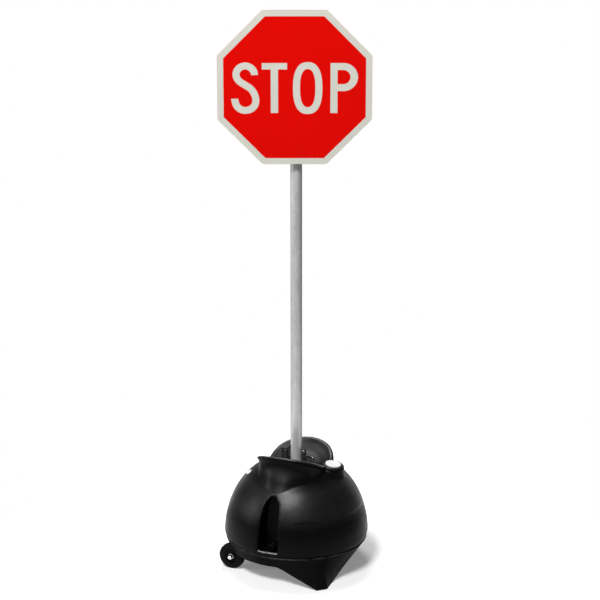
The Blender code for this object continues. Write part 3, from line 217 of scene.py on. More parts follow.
def joined_copy(name, node, finish, sharp=30.0, edge=0.0):
    """A copy of a CAD solid with its corners joined, so that light runs smoothly over its curves.

    Where edge is given, flat faces are made whole again and a rounded edge of that radius is added.
    """
    source = cad[node].data
    points = np.empty(len(source.vertices) * 3, dtype=np.float32)
    source.vertices.foreach_get("co", points)
    corners = np.empty(len(source.loops), dtype=np.int32)
    source.loops.foreach_get("vertex_index", corners)
    mesh = bpy.data.meshes.new(name)
    mesh.from_pydata(points.reshape(-1, 3), [], corners.reshape(-1, 3).tolist())
    shape = bmesh.new()
    shape.from_mesh(mesh)
    bmesh.ops.remove_doubles(shape, verts=shape.verts, dist=2e-6)
    if edge:
        bmesh.ops.dissolve_limit(shape, angle_limit=math.radians(1.0), verts=shape.verts, edges=shape.edges)
    shape.to_mesh(mesh)
    shape.free()
    mesh.materials.append(finish)
    mesh.shade_smooth()
    mesh.set_sharp_from_angle(angle=math.radians(sharp))
    piece = bpy.data.objects.new(name, mesh)
    bpy.context.scene.collection.objects.link(piece)
    if edge:
        round_off = piece.modifiers.new("round edge", "BEVEL")
        round_off.width = edge
        round_off.segments = 2
        round_off.limit_method = "ANGLE"
        round_off.angle_limit = math.radians(35)
        round_off.harden_normals = True
    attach(piece, cad[node]["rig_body"])
    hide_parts(node)
    return piece


def blended_copy(name, node, finish, cell, rounds, loose, settle):
    """A copy of a CAD solid with its creases run into soft radii, as on a rotational moulding.

    The solid is cut into cells of that size, and its skin is evened out: in each of the first rounds every
    point moves half way to the middle of its neighbours, and in the next only the points that loose picks
    out. settle moves the points onto the exact form, and the last rounds take off its roughness. The flat
    underside is made one face again.
    """
    piece = joined_copy(name, node, finish, sharp=180.0)
    cells = piece.modifiers.new("cells", "REMESH")
    cells.mode = "VOXEL"
    cells.voxel_size = cell
    seen = bpy.context.evaluated_depsgraph_get()
    skin = bpy.data.meshes.new_from_object(piece.evaluated_get(seen), depsgraph=seen)
    piece.modifiers.clear()
    points = np.empty(len(skin.vertices) * 3, dtype=np.float32)
    skin.vertices.foreach_get("co", points)
    points = points.reshape(-1, 3).astype(float)
    ends = np.empty(len(skin.edges) * 2, dtype=np.int32)
    skin.edges.foreach_get("vertices", ends)
    here, there = ends.reshape(-1, 2).T
    near = np.concatenate([here, there])
    far = np.concatenate([there, here])
    count = np.bincount(near, minlength=len(points))[:, None]
    first_rounds, loose_rounds, last_rounds = rounds
    half_way = share = 0.5
    for step in range(first_rounds + loose_rounds + last_rounds):
        if step == first_rounds:
            share = half_way * loose(points)[:, None]
        if step == first_rounds + loose_rounds:
            points = settle(points)
            share = half_way
        around = np.stack([np.bincount(near, points[far, k], len(points)) for k in range(3)], -1) / count
        points += share * (around - points)
    skin.vertices.foreach_set("co", points.astype(np.float32).ravel())
    shape = bmesh.new()
    shape.from_mesh(skin)
    foot = min(v.co.z for v in shape.verts)
    flat = [f for f in shape.faces if f.normal.z < -0.9999 and f.calc_center_median().z < foot + 0.0015]
    bmesh.ops.dissolve_faces(shape, faces=flat)
    shape.to_mesh(skin)
    shape.free()
    skin.name = name
    skin.materials.clear()
    skin.materials.append(finish)
    skin.shade_smooth()
    piece.data = skin
    return piece


def ramp(value, start, span):
    """0 up to the start, 1 from a span further on, and a straight rise between. The span may be negative."""
    return np.clip((value - start) / span, 0.0, 1.0)


foot_z, belt_z, dome_height = 0.1255, 0.142, 0.3057
foot_radius, belt_radius = 0.298, 0.302


def round_reach(height):
    """Radius of the plain dome above its belt: upright there, it closes ever faster towards the top."""
    return belt_radius * (1 - np.clip((height - belt_z) / dome_height, 0.0, 0.999) ** 1.89) ** 0.372


def dome_reach(angle, height):
    """Radius of the moulded dome at an angle and a height above the ground.

    The dome is flattened a little on eight sides, and steps in by 3 mm under a ledge on the filler side.
    """
    plain = np.where(height < belt_z, np.interp(height, [foot_z, belt_z], [foot_radius, belt_radius]),
                     round_reach(height))
    flats = 1 - 0.003 * (1 - np.cos(8 * (angle + 0.2094)))
    side = ramp(np.minimum(angle + 1.2915, 0.5934 - angle), 0.0, 0.1396)
    ledge_z = 0.2690
    share = np.where(height < ledge_z, (height - 0.157) / 0.112, 0.0)
    return plain * flats - np.clip(0.0045 * share * side - 0.0015, 0.0, None)


lip_lean, lip_centre, lip_radius = math.radians(25), 0.052, 0.136


def lip_height(front, out):
    """Height of the top of the front or back lip at a distance out from the post: both rise outwards."""
    return np.where(front, 0.457, 0.434) + (out - lip_centre) * math.tan(lip_lean)


def wall_reach(angle, height):
    """Radius of the wall under the hand lips at an angle and a height above the ground.

    It stands on the dome along a V shaped line, lowest under the front lip, leans in and steepens as it
    rises, and ends just inside the outline of the lip: a circle at the back, and a circle drawn a little
    square at the front. The radius there is found by halving. The height of the wall's foot and its radius
    at the top follow in the answer.
    """
    plan = angle + np.pi / 2
    front = np.cos(plan) > 0
    azimuth = (np.where(front, plan, np.pi - plan) + np.pi) % (2 * np.pi) - np.pi
    off = np.abs(np.degrees(azimuth) + 3.0)
    line_z = np.interp(off, [0, 6, 10, 17, 24, 34, 44, 56, 70, 85],
                       [0.367, 0.371, 0.377, 0.3895, 0.396, 0.401, 0.409, 0.416, 0.422, 0.429])
    line_r = round_reach(line_z)
    power = np.where(front, 2.6, 2.0)
    top_r, beyond = np.zeros_like(angle), np.full_like(angle, 0.4)
    for _ in range(24):
        middle = (top_r + beyond) / 2
        across = middle * np.sin(azimuth)
        along = (middle * np.cos(azimuth) - lip_centre) / math.cos(lip_lean)
        bearing = np.arctan2(along, across)
        outline = (np.abs(np.cos(bearing)) ** power + np.abs(np.sin(bearing)) ** power) ** (-1 / power)
        inside = np.hypot(across, along) < lip_radius * outline
        top_r, beyond = np.where(inside, middle, top_r), np.where(inside, beyond, middle)
    top_z = lip_height(front, top_r * np.cos(azimuth)) - 0.0104
    share = ramp(height, line_z, np.maximum(top_z - line_z, 0.006))
    return line_r + (top_r - line_r) * (1.821 * share - 0.821 * share ** 2), line_z, top_r


def boss_distance(points):
    """Distance from the axis of the filler boss, which leans out by 9 degrees."""
    x, y, z = points.T
    return np.hypot(x - 0.157 - 0.158 * (z - 0.441), y - 0.020)


def settled(points):
    """Moves points near the dome or the wall onto their exact forms, which cells and facets only come near.

    The dome gets a slight rounded rim along the foot of the wall. The front lip gets a half round roll
    20 mm deep, and the wall is hollowed under it.
    """
    x, y, z = points.T
    angle = np.arctan2(y, x)
    radius = np.hypot(x, y)
    wall, line_z, top_r = wall_reach(angle, z)
    depth = lip_height(y < 0, np.abs(y)) - z
    clear = ramp(boss_distance(points), 0.072, 0.014) * ramp(np.abs(y), 0.030, 0.020)
    frontal = np.cos(angle + np.pi / 2)
    hollow = 0.006 * ramp(frontal, 0.30, 0.30) * np.sin(np.pi * ramp(depth, 0.014, 0.095) ** 0.75)
    target = wall - hollow
    rolled, roll_radius = ramp(frontal, 0.06, 0.16), 0.010
    roll = top_r - 0.005 + np.sqrt(np.clip(roll_radius ** 2 - (depth - roll_radius) ** 2, 0.0, None))
    target += np.where(depth < 2 * roll_radius, rolled * np.clip(roll - target, 0.0, None), 0.0)
    on_wall = ramp(np.abs(wall - radius), 0.012, -0.004) * ramp(z, line_z + 0.002, 0.004)
    on_wall *= ramp(depth, 0.010 - 0.006 * rolled, 0.005) * clear
    on_wall *= np.where(depth < 0.014, ramp(radius, top_r - 0.007, 0.003), 1.0)
    off = dome_reach(angle, z) - radius
    edge = recess_edge(points)
    on_dome = ramp(np.abs(off), 0.0027 - 0.0011 * edge, -0.0012 - 0.0004 * edge)
    on_dome *= ramp(z, 0.124, 0.002) * ramp(z, 0.43, -0.02) * (1 - on_wall)
    rim = 0.0016 * np.exp(-((z - line_z + 0.003) / 0.0045) ** 2) * clear * (np.abs(off) < 0.004)
    grow = 1 + (on_dome * off + on_wall * (target - radius) + rim) / np.maximum(radius, 0.05)
    return np.clip(points * np.stack([grow, grow, np.ones_like(grow)], -1), cad_box[0], cad_box[1])


recess_x = -0.0125


def recess_edge(points):
    """1 along the edge of the drain recess, falling to 0 over 10 mm."""
    x, y, z = points.T
    half = np.interp(z, [0.142, 0.176, 0.217, 0.248, 0.279, 0.309, 0.328, 0.3405, 0.3505, 0.3565, 0.366],
                     [0.0435, 0.0425, 0.0412, 0.0392, 0.0370, 0.0335, 0.0285, 0.0225, 0.0145, 0.0060, 0.0])
    near = np.exp(-((np.abs(x - recess_x) - half) / 0.008) ** 2)
    return near * (y < -0.15) * ramp(z, 0.372, -0.006)


def run_out(points):
    """1 round the foot of the filler boss, whose flare is drawn out, a little on the recess's edge, or 0."""
    boss, z = boss_distance(points), points[:, 2]
    flare = ramp(boss, 0.095, -0.01) * ramp(boss, 0.040, 0.004)
    flare *= ramp(z, 0.424, -0.010) * ramp(z, 0.355, 0.004)
    return np.maximum(flare, 0.22 * recess_edge(points))


def sill_of_recess(made):
    """A pale line along the top of the sill at the foot of the drain recess."""
    across = (abs(made.axis("X") - recess_x) * -1.0).between(-0.044, -0.041)
    level = (abs(made.axis("Z") - belt_z) * -1.0).between(-0.0032, -0.0022)
    front = (made.axis("Y") * -1.0).between(0.281, 0.284)
    return across * level * front * made.grain(0.010, 3.0, 0.6).between(0.25, 0.55)


tank_black = moulded_black("tank moulding", sheen=(0.235, 0.285), pale_line=sill_of_recess)
blended_copy("moulded_tank", "tank_shell", tank_black, 0.0036, (5, 40, 5), run_out, settled)


# The ballast tray under the tank is the same black plastic, moulded apart and fixed under the rim. It
# scrapes on the ground when the sign is tipped onto its wheels, so it is duller than the tank. A thin pale
# line along its rim is a painted highlight.
def highlight_on_tray_rim(made):
    """A painted highlight: a thin pale line along the tray's upper edge."""
    line = (abs(made.axis("Z") - 0.1192) * -1.0).between(-0.0022, -0.0012)
    return line * made.grain(0.03, 3.0, 0.6).between(0.35, 0.65) * 0.16


tray_black = moulded_black("tray moulding", roughness=0.52, waves=0.06, pale_line=highlight_on_tray_rim)
joined_copy("moulded_tray", "ballast_tray", tray_black, sharp=32.0)


# The post is 1.875 inch steel tube, dipped in zinc. The zinc has run down it in long soft streaks and set
# in broad dull crystals. A black cap closes its upper end behind the sign.
def galvanised(name, tone=1.0):
    """Dull zinc: crystals, long streaks down the tube, and a few darker drag marks from handling."""
    made = Finish(name, Metallic=0.55, IOR=1.5)
    streak = made.grain(0.006, 3.0, 0.6, (1, 1, 30))
    cloud = made.grain(0.045, 3.0, 0.6, (1, 1, 2.4))
    crystal = made.start.node("ShaderNodeTexVoronoi", {"feature": "F1"},
                              {"Vector": made.place, "Scale": 170.0, "Randomness": 1.0}, "Color")
    facet = made.start.node("ShaderNodeSeparateColor", None, {0: crystal}, "Red")
    mark = made.grain(0.004, 4.0, 0.65, (1, 1, 3)).between(0.64, 0.74)
    light = streak * 0.5 + cloud * 0.35 + facet * 0.15
    zinc = light.between(0.28, 0.72).shade(tuple(tone * c for c in (0.55, 0.555, 0.56)),
                                           tuple(tone * c for c in (0.80, 0.805, 0.81)))
    made.feed(Base_Color=(mark * 0.45).shade(zinc, (tone * 0.24,) * 3),
              Roughness=0.40 + light * 0.16 + mark * 0.1)
    made.relief((streak, 0.00025, 0.25), (facet, 0.00008, 0.2))
    return made.material


def turned(name, profile, finish, body, node, place, steps, ripple=None):
    """A surface of revolution: (radius, height) pairs turned round Z, then put in its place.

    Point (i, j) is profile point j at angle 2 pi i / steps. ripple(angle, radius, height) may change its
    radius.
    """
    reach, height = np.array(profile, dtype=float).T
    angle = (2 * np.pi * np.arange(steps) / steps)[:, None]
    radius = reach[None, :] if ripple is None else ripple(angle, reach[None, :], height[None, :])
    radius = radius * np.ones_like(angle)
    grid = np.stack([radius * np.cos(angle), radius * np.sin(angle),
                     np.broadcast_to(height, radius.shape)], -1)
    count = len(reach)
    i, j = np.meshgrid(np.arange(steps), np.arange(count), indexing="ij")
    near, far = i * count + j, (i + 1) % steps * count + j
    step = (j + 1) % count - j
    faces = np.stack([near, far, far + step, near + step], -1).reshape(-1, 4)
    mesh = bpy.data.meshes.new(name)
    mesh.from_pydata(grid.reshape(-1, 3), [], faces.tolist())
    shape = bmesh.new()
    shape.from_mesh(mesh)
    bmesh.ops.remove_doubles(shape, verts=shape.verts, dist=1e-6)
    bmesh.ops.dissolve_degenerate(shape, dist=1e-7, edges=shape.edges)
    bmesh.ops.recalc_face_normals(shape, faces=shape.faces)
    if shape.calc_volume(signed=True) < 0:
        bmesh.ops.reverse_faces(shape, faces=shape.faces)
    shape.to_mesh(mesh)
    shape.free()
    mesh.transform(place)
    mesh.materials.append(finish)
    mesh.shade_smooth()
    mesh.set_sharp_from_angle(angle=math.radians(32))
    piece = bpy.data.objects.new(name, mesh)
    bpy.context.scene.collection.objects.link(piece)
    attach(piece, body)
    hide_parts(node)
    return piece


post_low, post_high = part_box("post")
post_y = (post_low.y + post_high.y) / 2
post_radius = (post_high.x - post_low.x) / 2
wall, edge = 0.0024, 0.0006
turned("post_tube", [(post_radius - wall, post_low.z), (post_radius - edge, post_low.z),
                     (post_radius, post_low.z + edge), (post_radius, post_high.z - edge),
                     (post_radius - edge, post_high.z), (post_radius - wall, post_high.z)],
       galvanised("post zinc"), "sign", "post", Matrix.Translation((0, post_y, 0)), 72)
cap_black = moulded_black("cap moulding", roughness=0.45, waves=0.02)
joined_copy("end_cap", "post_cap", cap_black)

# The post stands in a steel socket let into the tank, with a black plastic sleeve between the two that
# takes up the slack. The sleeve's flange shows as a dark ring round the foot of the post.
joined_copy("socket_tube", "post_socket", galvanised("socket zinc", 0.8))
sleeve_black = moulded_black("sleeve moulding", roughness=0.5, waves=0.02)
joined_copy("sleeve", "adaptor_sleeve", sleeve_black)


# Steel plate, channel bracket and lever are folded or cut from plate and powder coated black. The coat is
# slightly pebbled, and worn to bare steel on the lever's edges where it is handled.
def powder_black(name, bare=0.0):
    """Powder coat: fine pebbled skin over steel, thin at handled spots when bare is above 0."""
    made = Finish(name, IOR=1.5)
    pebble = made.grain(0.0009, 1.0, 0.5)
    patch = made.grain(0.018, 3.0, 0.6)
    chip = made.grain(0.0035, 4.0, 0.7).between(0.66 - 0.08 * bare, 0.70 - 0.06 * bare)
    coat = patch.shade((0.012, 0.012, 0.012), (0.022, 0.022, 0.023))
    made.feed(Base_Color=(chip * 0.7).shade(coat, (0.22, 0.21, 0.20)),
              Metallic=chip * 0.7, Roughness=0.40 + patch * 0.12 + pebble * 0.06)
    made.relief((pebble, 0.00015, 0.5))
    return made.material


bracket_black = powder_black("bracket coat")
lever_black = powder_black("lever coat", 0.6)
joined_copy("top_plate", "clamp_plate", bracket_black, edge=0.0006)
joined_copy("channel_bracket", "keeper_bracket", bracket_black, edge=0.0006)
joined_copy("upright_lug", "lever_lug", bracket_black, edge=0.0006)
joined_copy("lever_arm", "clamp_lever", lever_black, edge=0.0008)


# Keeper bar, pin, bolts, washers, axle, saddles and U-bolts are zinc plated: pale grey with a slight
# yellow and blue bloom, and satin where the plating is thick.
def plated(name, roughness=0.30, base=(0.56, 0.555, 0.54)):
    """Zinc plate: pale metal with a slow bloom of yellow and blue and fine drawing lines."""
    made = Finish(name, Metallic=1.0)
    bloom = made.grain(0.02, 3.0, 0.6)
    line = made.grain(0.0005, 1.0, 0.5, (1, 1, 12))
    made.feed(Base_Color=bloom.shade(tuple(c * s for c, s in zip(base, (0.90, 0.94, 1.04))),
                                     tuple(c * s for c, s in zip(base, (1.10, 1.06, 0.94)))),
              Roughness=roughness - 0.05 + bloom * 0.12 + line * 0.04)
    made.relief((line, 0.00004, 0.2))
    return made.material


satin_zinc = plated("zinc plate")
joined_copy("keeper_flat", "keeper_bar", satin_zinc, edge=0.0005)
joined_copy("keeper_rod", "keeper_pin", satin_zinc)


def six_flats(head, neck):
    """A ripple for turned(): above the neck, the head of that radius dips to six flats."""
    def ripple(angle, radius, height):
        flats = 0.88 + 0.12 * np.cos(np.pi / 6) / np.cos((angle + np.pi / 6) % (np.pi / 3) - np.pi / 6)
        return np.where((radius > head * 0.78) & (height > neck + 0.00085), radius * flats, radius)
    return ripple


for number in (1, 2, 3, 4):
    low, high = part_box("plate_bolt_%d" % number)
    middle = (low + high) / 2
    head, neck, shank = (high.x - low.x) / 2, high.z - 0.0037, 0.003
    turned("plate_screw_%d" % number,
           [(0, low.z), (shank - 0.0004, low.z), (shank, low.z + 0.0004), (shank, neck), (head, neck),
            (head, neck + 0.0008), (head * 0.90, neck + 0.0009), (head * 0.90, high.z - 0.0006),
            (head * 0.80, high.z), (0, high.z)],
           satin_zinc, "base", "plate_bolt_%d" % number,
           Matrix.Translation((middle.x, middle.y, 0)), 48, six_flats(head, neck))

# The lever turns on a bright bolt with a nut behind the lug, and carries a bright stud at its tip.
bright = plated("bright plate", 0.16, (0.78, 0.78, 0.77))
joined_copy("pivot_bolt", "lever_bolt", bright, edge=0.0004)
joined_copy("pivot_nut", "lever_nut", bright, edge=0.0004)
joined_copy("tip_stud", "lever_stud", bright, edge=0.0003)


# Filler cap and vent plug are white mouldings. The cap is screwed down by its ribbed rim and seals on a
# black rubber ring, which shows as a dark line round it.
def white_moulding(name):
    """White polypropylene, slightly warm, with a faint grey film in the hollows of its grain."""
    made = Finish(name, IOR=1.49)
    film = made.grain(0.009, 4.0, 0.65)
    speck = made.grain(0.0011, 2.0, 0.5)
    made.feed(Base_Color=film.between(0.35, 0.75).shade((0.80, 0.80, 0.79), (0.70, 0.70, 0.685)),
              Roughness=0.34 + film * 0.14 + speck * 0.05)
    made.relief((speck, 0.00008, 0.25))
    return made.material


def rubber_black(name, base=0.007):
    """Black rubber: matt, a little grey with bloom."""
    made = Finish(name, IOR=1.3, Specular_IOR_Level=0.15)
    bloom = made.grain(0.014, 4.0, 0.6)
    speck = made.grain(0.0012, 2.0, 0.6)
    made.feed(Base_Color=bloom.between(0.3, 0.8).shade((base * 0.75,) * 3, (base * 1.9,) * 3),
              Roughness=0.68 + bloom * 0.16)
    made.relief((speck, 0.0002, 0.35))
    return made.material


cap_white = white_moulding("cap white")
seal_rubber = rubber_black("seal rubber")
cap_lean = Matrix.Rotation(math.radians(9), 4, "Y")
cap_points = np.array([cap_lean.inverted() @ v.co for v in cad["filler_cap"].data.vertices])
cap_top = cap_points[:, 2].max()
cap_x, cap_y, _ = cap_points[cap_points[:, 2] > cap_top - 1e-5].mean(0)
cap_at = cap_lean @ Matrix.Translation((cap_x, cap_y, cap_top - 0.0034))
cap_radius, cap_face = 0.0325, 0.0022


def grip_ribs(angle, radius, height):
    """Forty shallow ribs round the rim: the radius dips by 0.5 mm between them."""
    dip = 0.00025 * (1 - np.cos(40 * angle))
    on_rim = (radius > cap_radius - 0.0012) & (height > -0.0060) & (height < cap_face - 0.0012)
    return np.where(on_rim, radius - dip, radius)


turned("screw_cap", [(0, -0.0264), (0.0205, -0.0264), (0.0222, -0.0248), (0.0222, -0.0066),
                     (cap_radius - 0.001, -0.0066), (cap_radius, -0.0056), (cap_radius, cap_face - 0.0024),
                     (cap_radius - 0.0006, cap_face - 0.0009), (cap_radius - 0.0020, cap_face),
                     (0.0235, cap_face), (0.0228, cap_face - 0.0009), (0.0215, cap_face - 0.0012),
                     (0, cap_face - 0.0012)],
       cap_white, "filler", "filler_cap", cap_at, 160, grip_ribs)
joined_copy("cap_seal", "filler_cap_seal", seal_rubber)
joined_copy("vent_stopper", "vent_plug", cap_white, edge=0.0004)

# The drain plug is a thick black disc with a dimple, on a short boss low in the recess, with a rubber ring.
joined_copy("drain_stopper", "drain_plug", moulded_black("plug moulding", roughness=0.5, waves=0.02),
            edge=0.0005)
joined_copy("drain_ring", "drain_plug_seal", seal_rubber)

# Two 110 mm wheels run on one plain axle under the tray. Each is a black plastic hub with a solid rubber
# tyre, held by a washer and a bright cap nut. Hangers carry the axle.
tyre_rubber = rubber_black("tyre rubber", 0.004)
hub_black = moulded_black("hub moulding", roughness=0.42, waves=0.02)
for side, out in (("front", -1), ("back", 1)):
    low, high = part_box("tyre_" + side)
    centre = (low + high) / 2
    radius, half, bore = (high.z - low.z) / 2, (high.y - low.y) / 2, 0.0313
    spin = Matrix.Translation(centre) @ Matrix.Rotation(-out * math.pi / 2, 4, "X")
    shoulder = [(bore, -half), (bore + 0.004, -half), (radius - 0.0090, -half),
                (radius - 0.0082, -half + 0.0005), (radius - 0.0050, -half + 0.0008),
                (radius - 0.0024, -half + 0.0021), (radius - 0.0007, -half + 0.0044),
                (radius, -half + 0.0072)]
    tread = [(radius, -0.0046), (radius - 0.0011, -0.0042), (radius - 0.0011, -0.0034), (radius, -0.0030),
             (radius, -0.0002)]
    profile = shoulder + tread + [(reach, -level) for reach, level in reversed(shoulder + tread)]
    turned("rolling_tyre_" + side, profile, tyre_rubber, "wheel_" + side, "tyre_" + side,
           spin, 128)
    joined_copy("wheel_hub_" + side, "hub_" + side, hub_black, edge=0.0007)
    joined_copy("washer_" + side, "wheel_washer_" + side, satin_zinc)
    joined_copy("cap_nut_" + side, "hub_cap_nut_" + side, bright, sharp=50.0)
    joined_copy("hanger_" + side, "axle_hanger_" + side, bracket_black, edge=0.0008)
joined_copy("axle_rod", "axle", satin_zinc)


# Sign: a 24 inch octagon of aluminium sheet, its back and its two channel rails left bare. The rolled
# sheet has fine lines across it and a dull oxide that shows fingermarks and rubs.
sign_turn = math.radians(21.3)


def bare_aluminium(name, lines=(40, 1, 1)):
    """Mill finish aluminium: fine lines along the rolling, soft smudges and a few scratches."""
    made = Finish(name, Metallic=1.0)
    turn = (0, 0, -sign_turn)
    line = made.grain(0.0009, 2.0, 0.6, lines, turn)
    smudge = made.grain(0.05, 4.0, 0.6)
    scratch = made.grain(0.0022, 3.0, 0.7, (14, 1, 1), turn).between(0.66, 0.72)
    made.feed(Base_Color=(line * 0.5 + smudge * 0.5).shade((0.50, 0.505, 0.515), (0.70, 0.70, 0.70)),
              Roughness=0.30 + smudge * 0.18 + line * 0.08 + scratch * 0.1)
    made.relief((line, 0.00005, 0.25), (scratch, 0.0001, 0.15))
    return made.material


joined_copy("octagon_sheet", "sign_blade", bare_aluminium("rolled sheet"))
rail_metal = bare_aluminium("rail extrusion", (60, 1, 1))
for side in ("upper", "lower"):
    joined_copy("rail_" + side, "sign_rail_" + side, rail_metal, edge=0.0004)
    joined_copy("saddle_" + side, "post_saddle_" + side, satin_zinc, edge=0.0008)
    joined_copy("bow_" + side, "u_bolt_" + side, satin_zinc, sharp=50.0)
    for hand in ("left", "right"):
        joined_copy("nut_%s_%s" % (side, hand), "u_bolt_nut_%s_%s" % (side, hand), satin_zinc,
                    edge=0.0004)


# The face is red reflective sheeting with a white border and a white legend cut from the same kind of film.
# Tiny prisms behind its surface show as a fine diamond net, brighter at the middle of each cell.
def prismatic(name, dull, lit, net):
    """Film over prisms: staggered bright cells every 8.6 mm, parted by thin lines, and a faint cloud.

    The cells follow sin(a) sin(b) on the face's own axes, a across and b up, which sets them in staggered
    rows. The net runs along the two diagonals.
    """
    made = Finish(name, IOR=1.5, Specular_IOR_Level=0.06)
    across = made.axis("X") * math.cos(sign_turn) + made.axis("Y") * math.sin(sign_turn)
    up = made.axis("Z")
    cell_size = 0.0086
    wave = 2 * math.pi / cell_size
    cell = (across * wave).sine() * (up * wave).sine() * 0.5 + 0.5
    slant_a = abs(((across + up) * (wave / 2)).sine())
    slant_b = abs(((across - up) * (wave / 2)).sine())
    line = 1 - (slant_a * slant_b).between(0.0, 0.16)
    cloud = made.grain(0.07, 2.0, 0.5)
    netting = (line * 0.35 + (cloud - 0.5) * 0.3).between(0.0, 1.0)
    made.feed(Base_Color=netting.shade(cell.shade(dull, lit), net),
              Roughness=0.22 + cell * 0.10 + line * 0.1)
    return made.material


film_red = prismatic("red film", (0.56, 0.0012, 0.0006), (0.92, 0.0040, 0.0012), (0.46, 0.004, 0.003))
film_white = prismatic("white film", (0.50, 0.492, 0.43), (0.82, 0.81, 0.735), (0.40, 0.395, 0.36))
joined_copy("red_face", "reflective_sheeting", film_red)
face_low, face_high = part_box("reflective_sheeting")
to_face = Matrix.Translation((0, post_y, 0)) @ Matrix.Rotation(sign_turn, 4, "Z")
face_middle = to_face.inverted() @ ((face_low + face_high) / 2)
face_centre = to_face @ Matrix.Translation((face_middle.x, 0, face_middle.z))
face_y = np.array([to_face.inverted() @ v.co for v in cad["reflective_sheeting"].data.vertices])[:, 1].min()
film = 0.00018


def laid_film(name, rows):
    """A film patch: rows is a grid of (across, up) points in millimetres, laid a film's thickness proud.

    Each row runs across the stroke and each column along it. The patch gets a back and closed sides.
    """
    grid = np.array(rows, dtype=float) / 1000
    long, wide = grid.shape[:2]
    flat = grid.reshape(-1, 2)
    front = np.stack([flat[:, 0], np.full(len(flat), face_y - film), flat[:, 1]], -1)
    back = front + (0, film * 0.9, 0)
    count = len(flat)
    i, j = np.meshgrid(np.arange(long - 1), np.arange(wide - 1), indexing="ij")
    first = (i * wide + j).ravel()
    sheet = np.stack([first, first + 1, first + wide + 1, first + wide], -1)
    ring = np.concatenate([np.arange(wide - 1), np.arange(long - 1) * wide + wide - 1,
                           long * wide - 1 - np.arange(wide - 1), (long - 1 - np.arange(long - 1)) * wide])
    after = np.roll(ring, -1)
    skirt = np.stack([ring, after, after + count, ring + count], -1)
    mesh = bpy.data.meshes.new(name)
    mesh.from_pydata(np.concatenate([front, back]), [],
                     np.concatenate([sheet, sheet[:, ::-1] + count, skirt]).tolist())
    shape = bmesh.new()
    shape.from_mesh(mesh)
    bmesh.ops.remove_doubles(shape, verts=shape.verts, dist=1e-6)
    bmesh.ops.recalc_face_normals(shape, faces=shape.faces)
    if shape.calc_volume(signed=True) < 0:
        bmesh.ops.reverse_faces(shape, faces=shape.faces)
    shape.to_mesh(mesh)
    shape.free()
    mesh.transform(face_centre)
    mesh.materials.append(film_white)
    piece = bpy.data.objects.new(name, mesh)
    bpy.context.scene.collection.objects.link(piece)
    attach(piece, "sign")
    return piece


def octagon(width, corner, steps):
    """Points round an octagon of a width across flats in millimetres, its corners turned on that radius."""
    side = np.arange(8)[:, None]
    turn = np.linspace(-0.5, 0.5, steps)[None, :]
    angle = (side + 0.5 + turn) * math.pi / 4
    reach = (width / 2 - corner) / math.cos(math.pi / 8)
    hub = (side + 0.5) * math.pi / 4
    across = reach * np.cos(hub) + corner * np.cos(angle)
    up = reach * np.sin(hub) + corner * np.sin(angle)
    return np.stack([across, up], -1).reshape(-1, 2)


band = np.stack([octagon(608.4, 21.6, 9), octagon(560.6, 3.0, 9)], 1)
laid_film("white_border", np.concatenate([band, band[:1]]))


def stroke(points, width, steps=14):
    """A stroke of even width: a Catmull-Rom curve through the points, offset by half of it to both sides.

    Its two ends are cut level, as signwriters cut an S.
    """
    line = np.array(points, dtype=float)
    line = np.concatenate([[2 * line[0] - line[1]], line, [2 * line[-1] - line[-2]]])
    t = np.linspace(0, 1, steps, endpoint=False)[:, None]
    runs = [0.5 * (2 * b + (c - a) * t + (2 * a - 5 * b + 4 * c - d) * t ** 2
                   + (3 * b - a - 3 * c + d) * t ** 3)
            for a, b, c, d in zip(line, line[1:], line[2:], line[3:])]
    path = np.concatenate(runs + [line[-2:-1]])
    along = np.gradient(path, axis=0)
    along /= np.linalg.norm(along, axis=1, keepdims=True)
    side = np.stack([-along[:, 1], along[:, 0]], -1) * width / 2
    side[[0, -1]] = [[-width / 2 / along[0, 1], 0], [-width / 2 / along[-1, 1], 0]]
    return np.stack([path + side, path - side], 1)


def block(left, right, low, high):
    """A plain upright or level bar."""
    return [[(left, low), (right, low)], [(left, high), (right, high)]]


def rounded_ring(left, right, low, high, stem, power, steps=96):
    """A closed ring between two superellipses, the inner one smaller by the stem's width all round."""
    angle = np.linspace(0, 2 * np.pi, steps + 1)
    grow = (np.abs(np.cos(angle)) ** power + np.abs(np.sin(angle)) ** power) ** (-1 / power)
    centre = np.array([(left + right) / 2, (low + high) / 2])
    ring = np.stack([np.cos(angle), np.sin(angle)], -1) * grow[:, None]
    half = np.array([(right - left) / 2, (high - low) / 2])
    return np.stack([centre + ring * half, centre + ring * (half - stem)], 1)


# The legend is the plain word of the sign's use, cut as separate letters with round strokes 27.6 mm wide.
# All sizes are in millimetres from the middle of the face.
cap_line, base_line, stem = 98.0, -99.6, 27.6
letter_s = [(-157.2, 51.0), (-160.3, 65.0), (-173.6, 80.4), (-193.8, 86.6), (-213.2, 81.2), (-225.9, 68.2),
            (-230.0, 51.7), (-225.8, 36.8), (-214.8, 24.2), (-194.7, 11.2), (-173.4, -3.0), (-158.5, -24.7),
            (-153.0, -48.4), (-157.5, -69.0), (-172.3, -83.7), (-193.8, -89.3), (-215.2, -83.7),
            (-230.2, -67.8), (-236.4, -43.7)]
laid_film("letter_s", stroke(letter_s, stem))
laid_film("letter_t_bar", block(-129.0, -29.6, 72.6, cap_line))
laid_film("letter_t_stem", block(-94.2, -65.3, base_line, 72.6))
laid_film("letter_o", rounded_ring(-6.6, 109.0, -103.5, 101.5, stem, 2.45))
laid_film("letter_p_stem", block(140.8, 168.5, base_line, cap_line))
half_turn = np.linspace(math.pi / 2, -math.pi / 2, 33)
sides = []
for centre, reach, top, bottom in ((193.4, 55.2, cap_line, -12.5), (191.6, 27.6, 70.3, 15.1)):
    round_part = np.stack([centre + reach * np.cos(half_turn), 42.7 + reach * np.sin(half_turn)], -1)
    sides.append(np.concatenate([[(168.5, top)], round_part, [(168.5, bottom)]]))
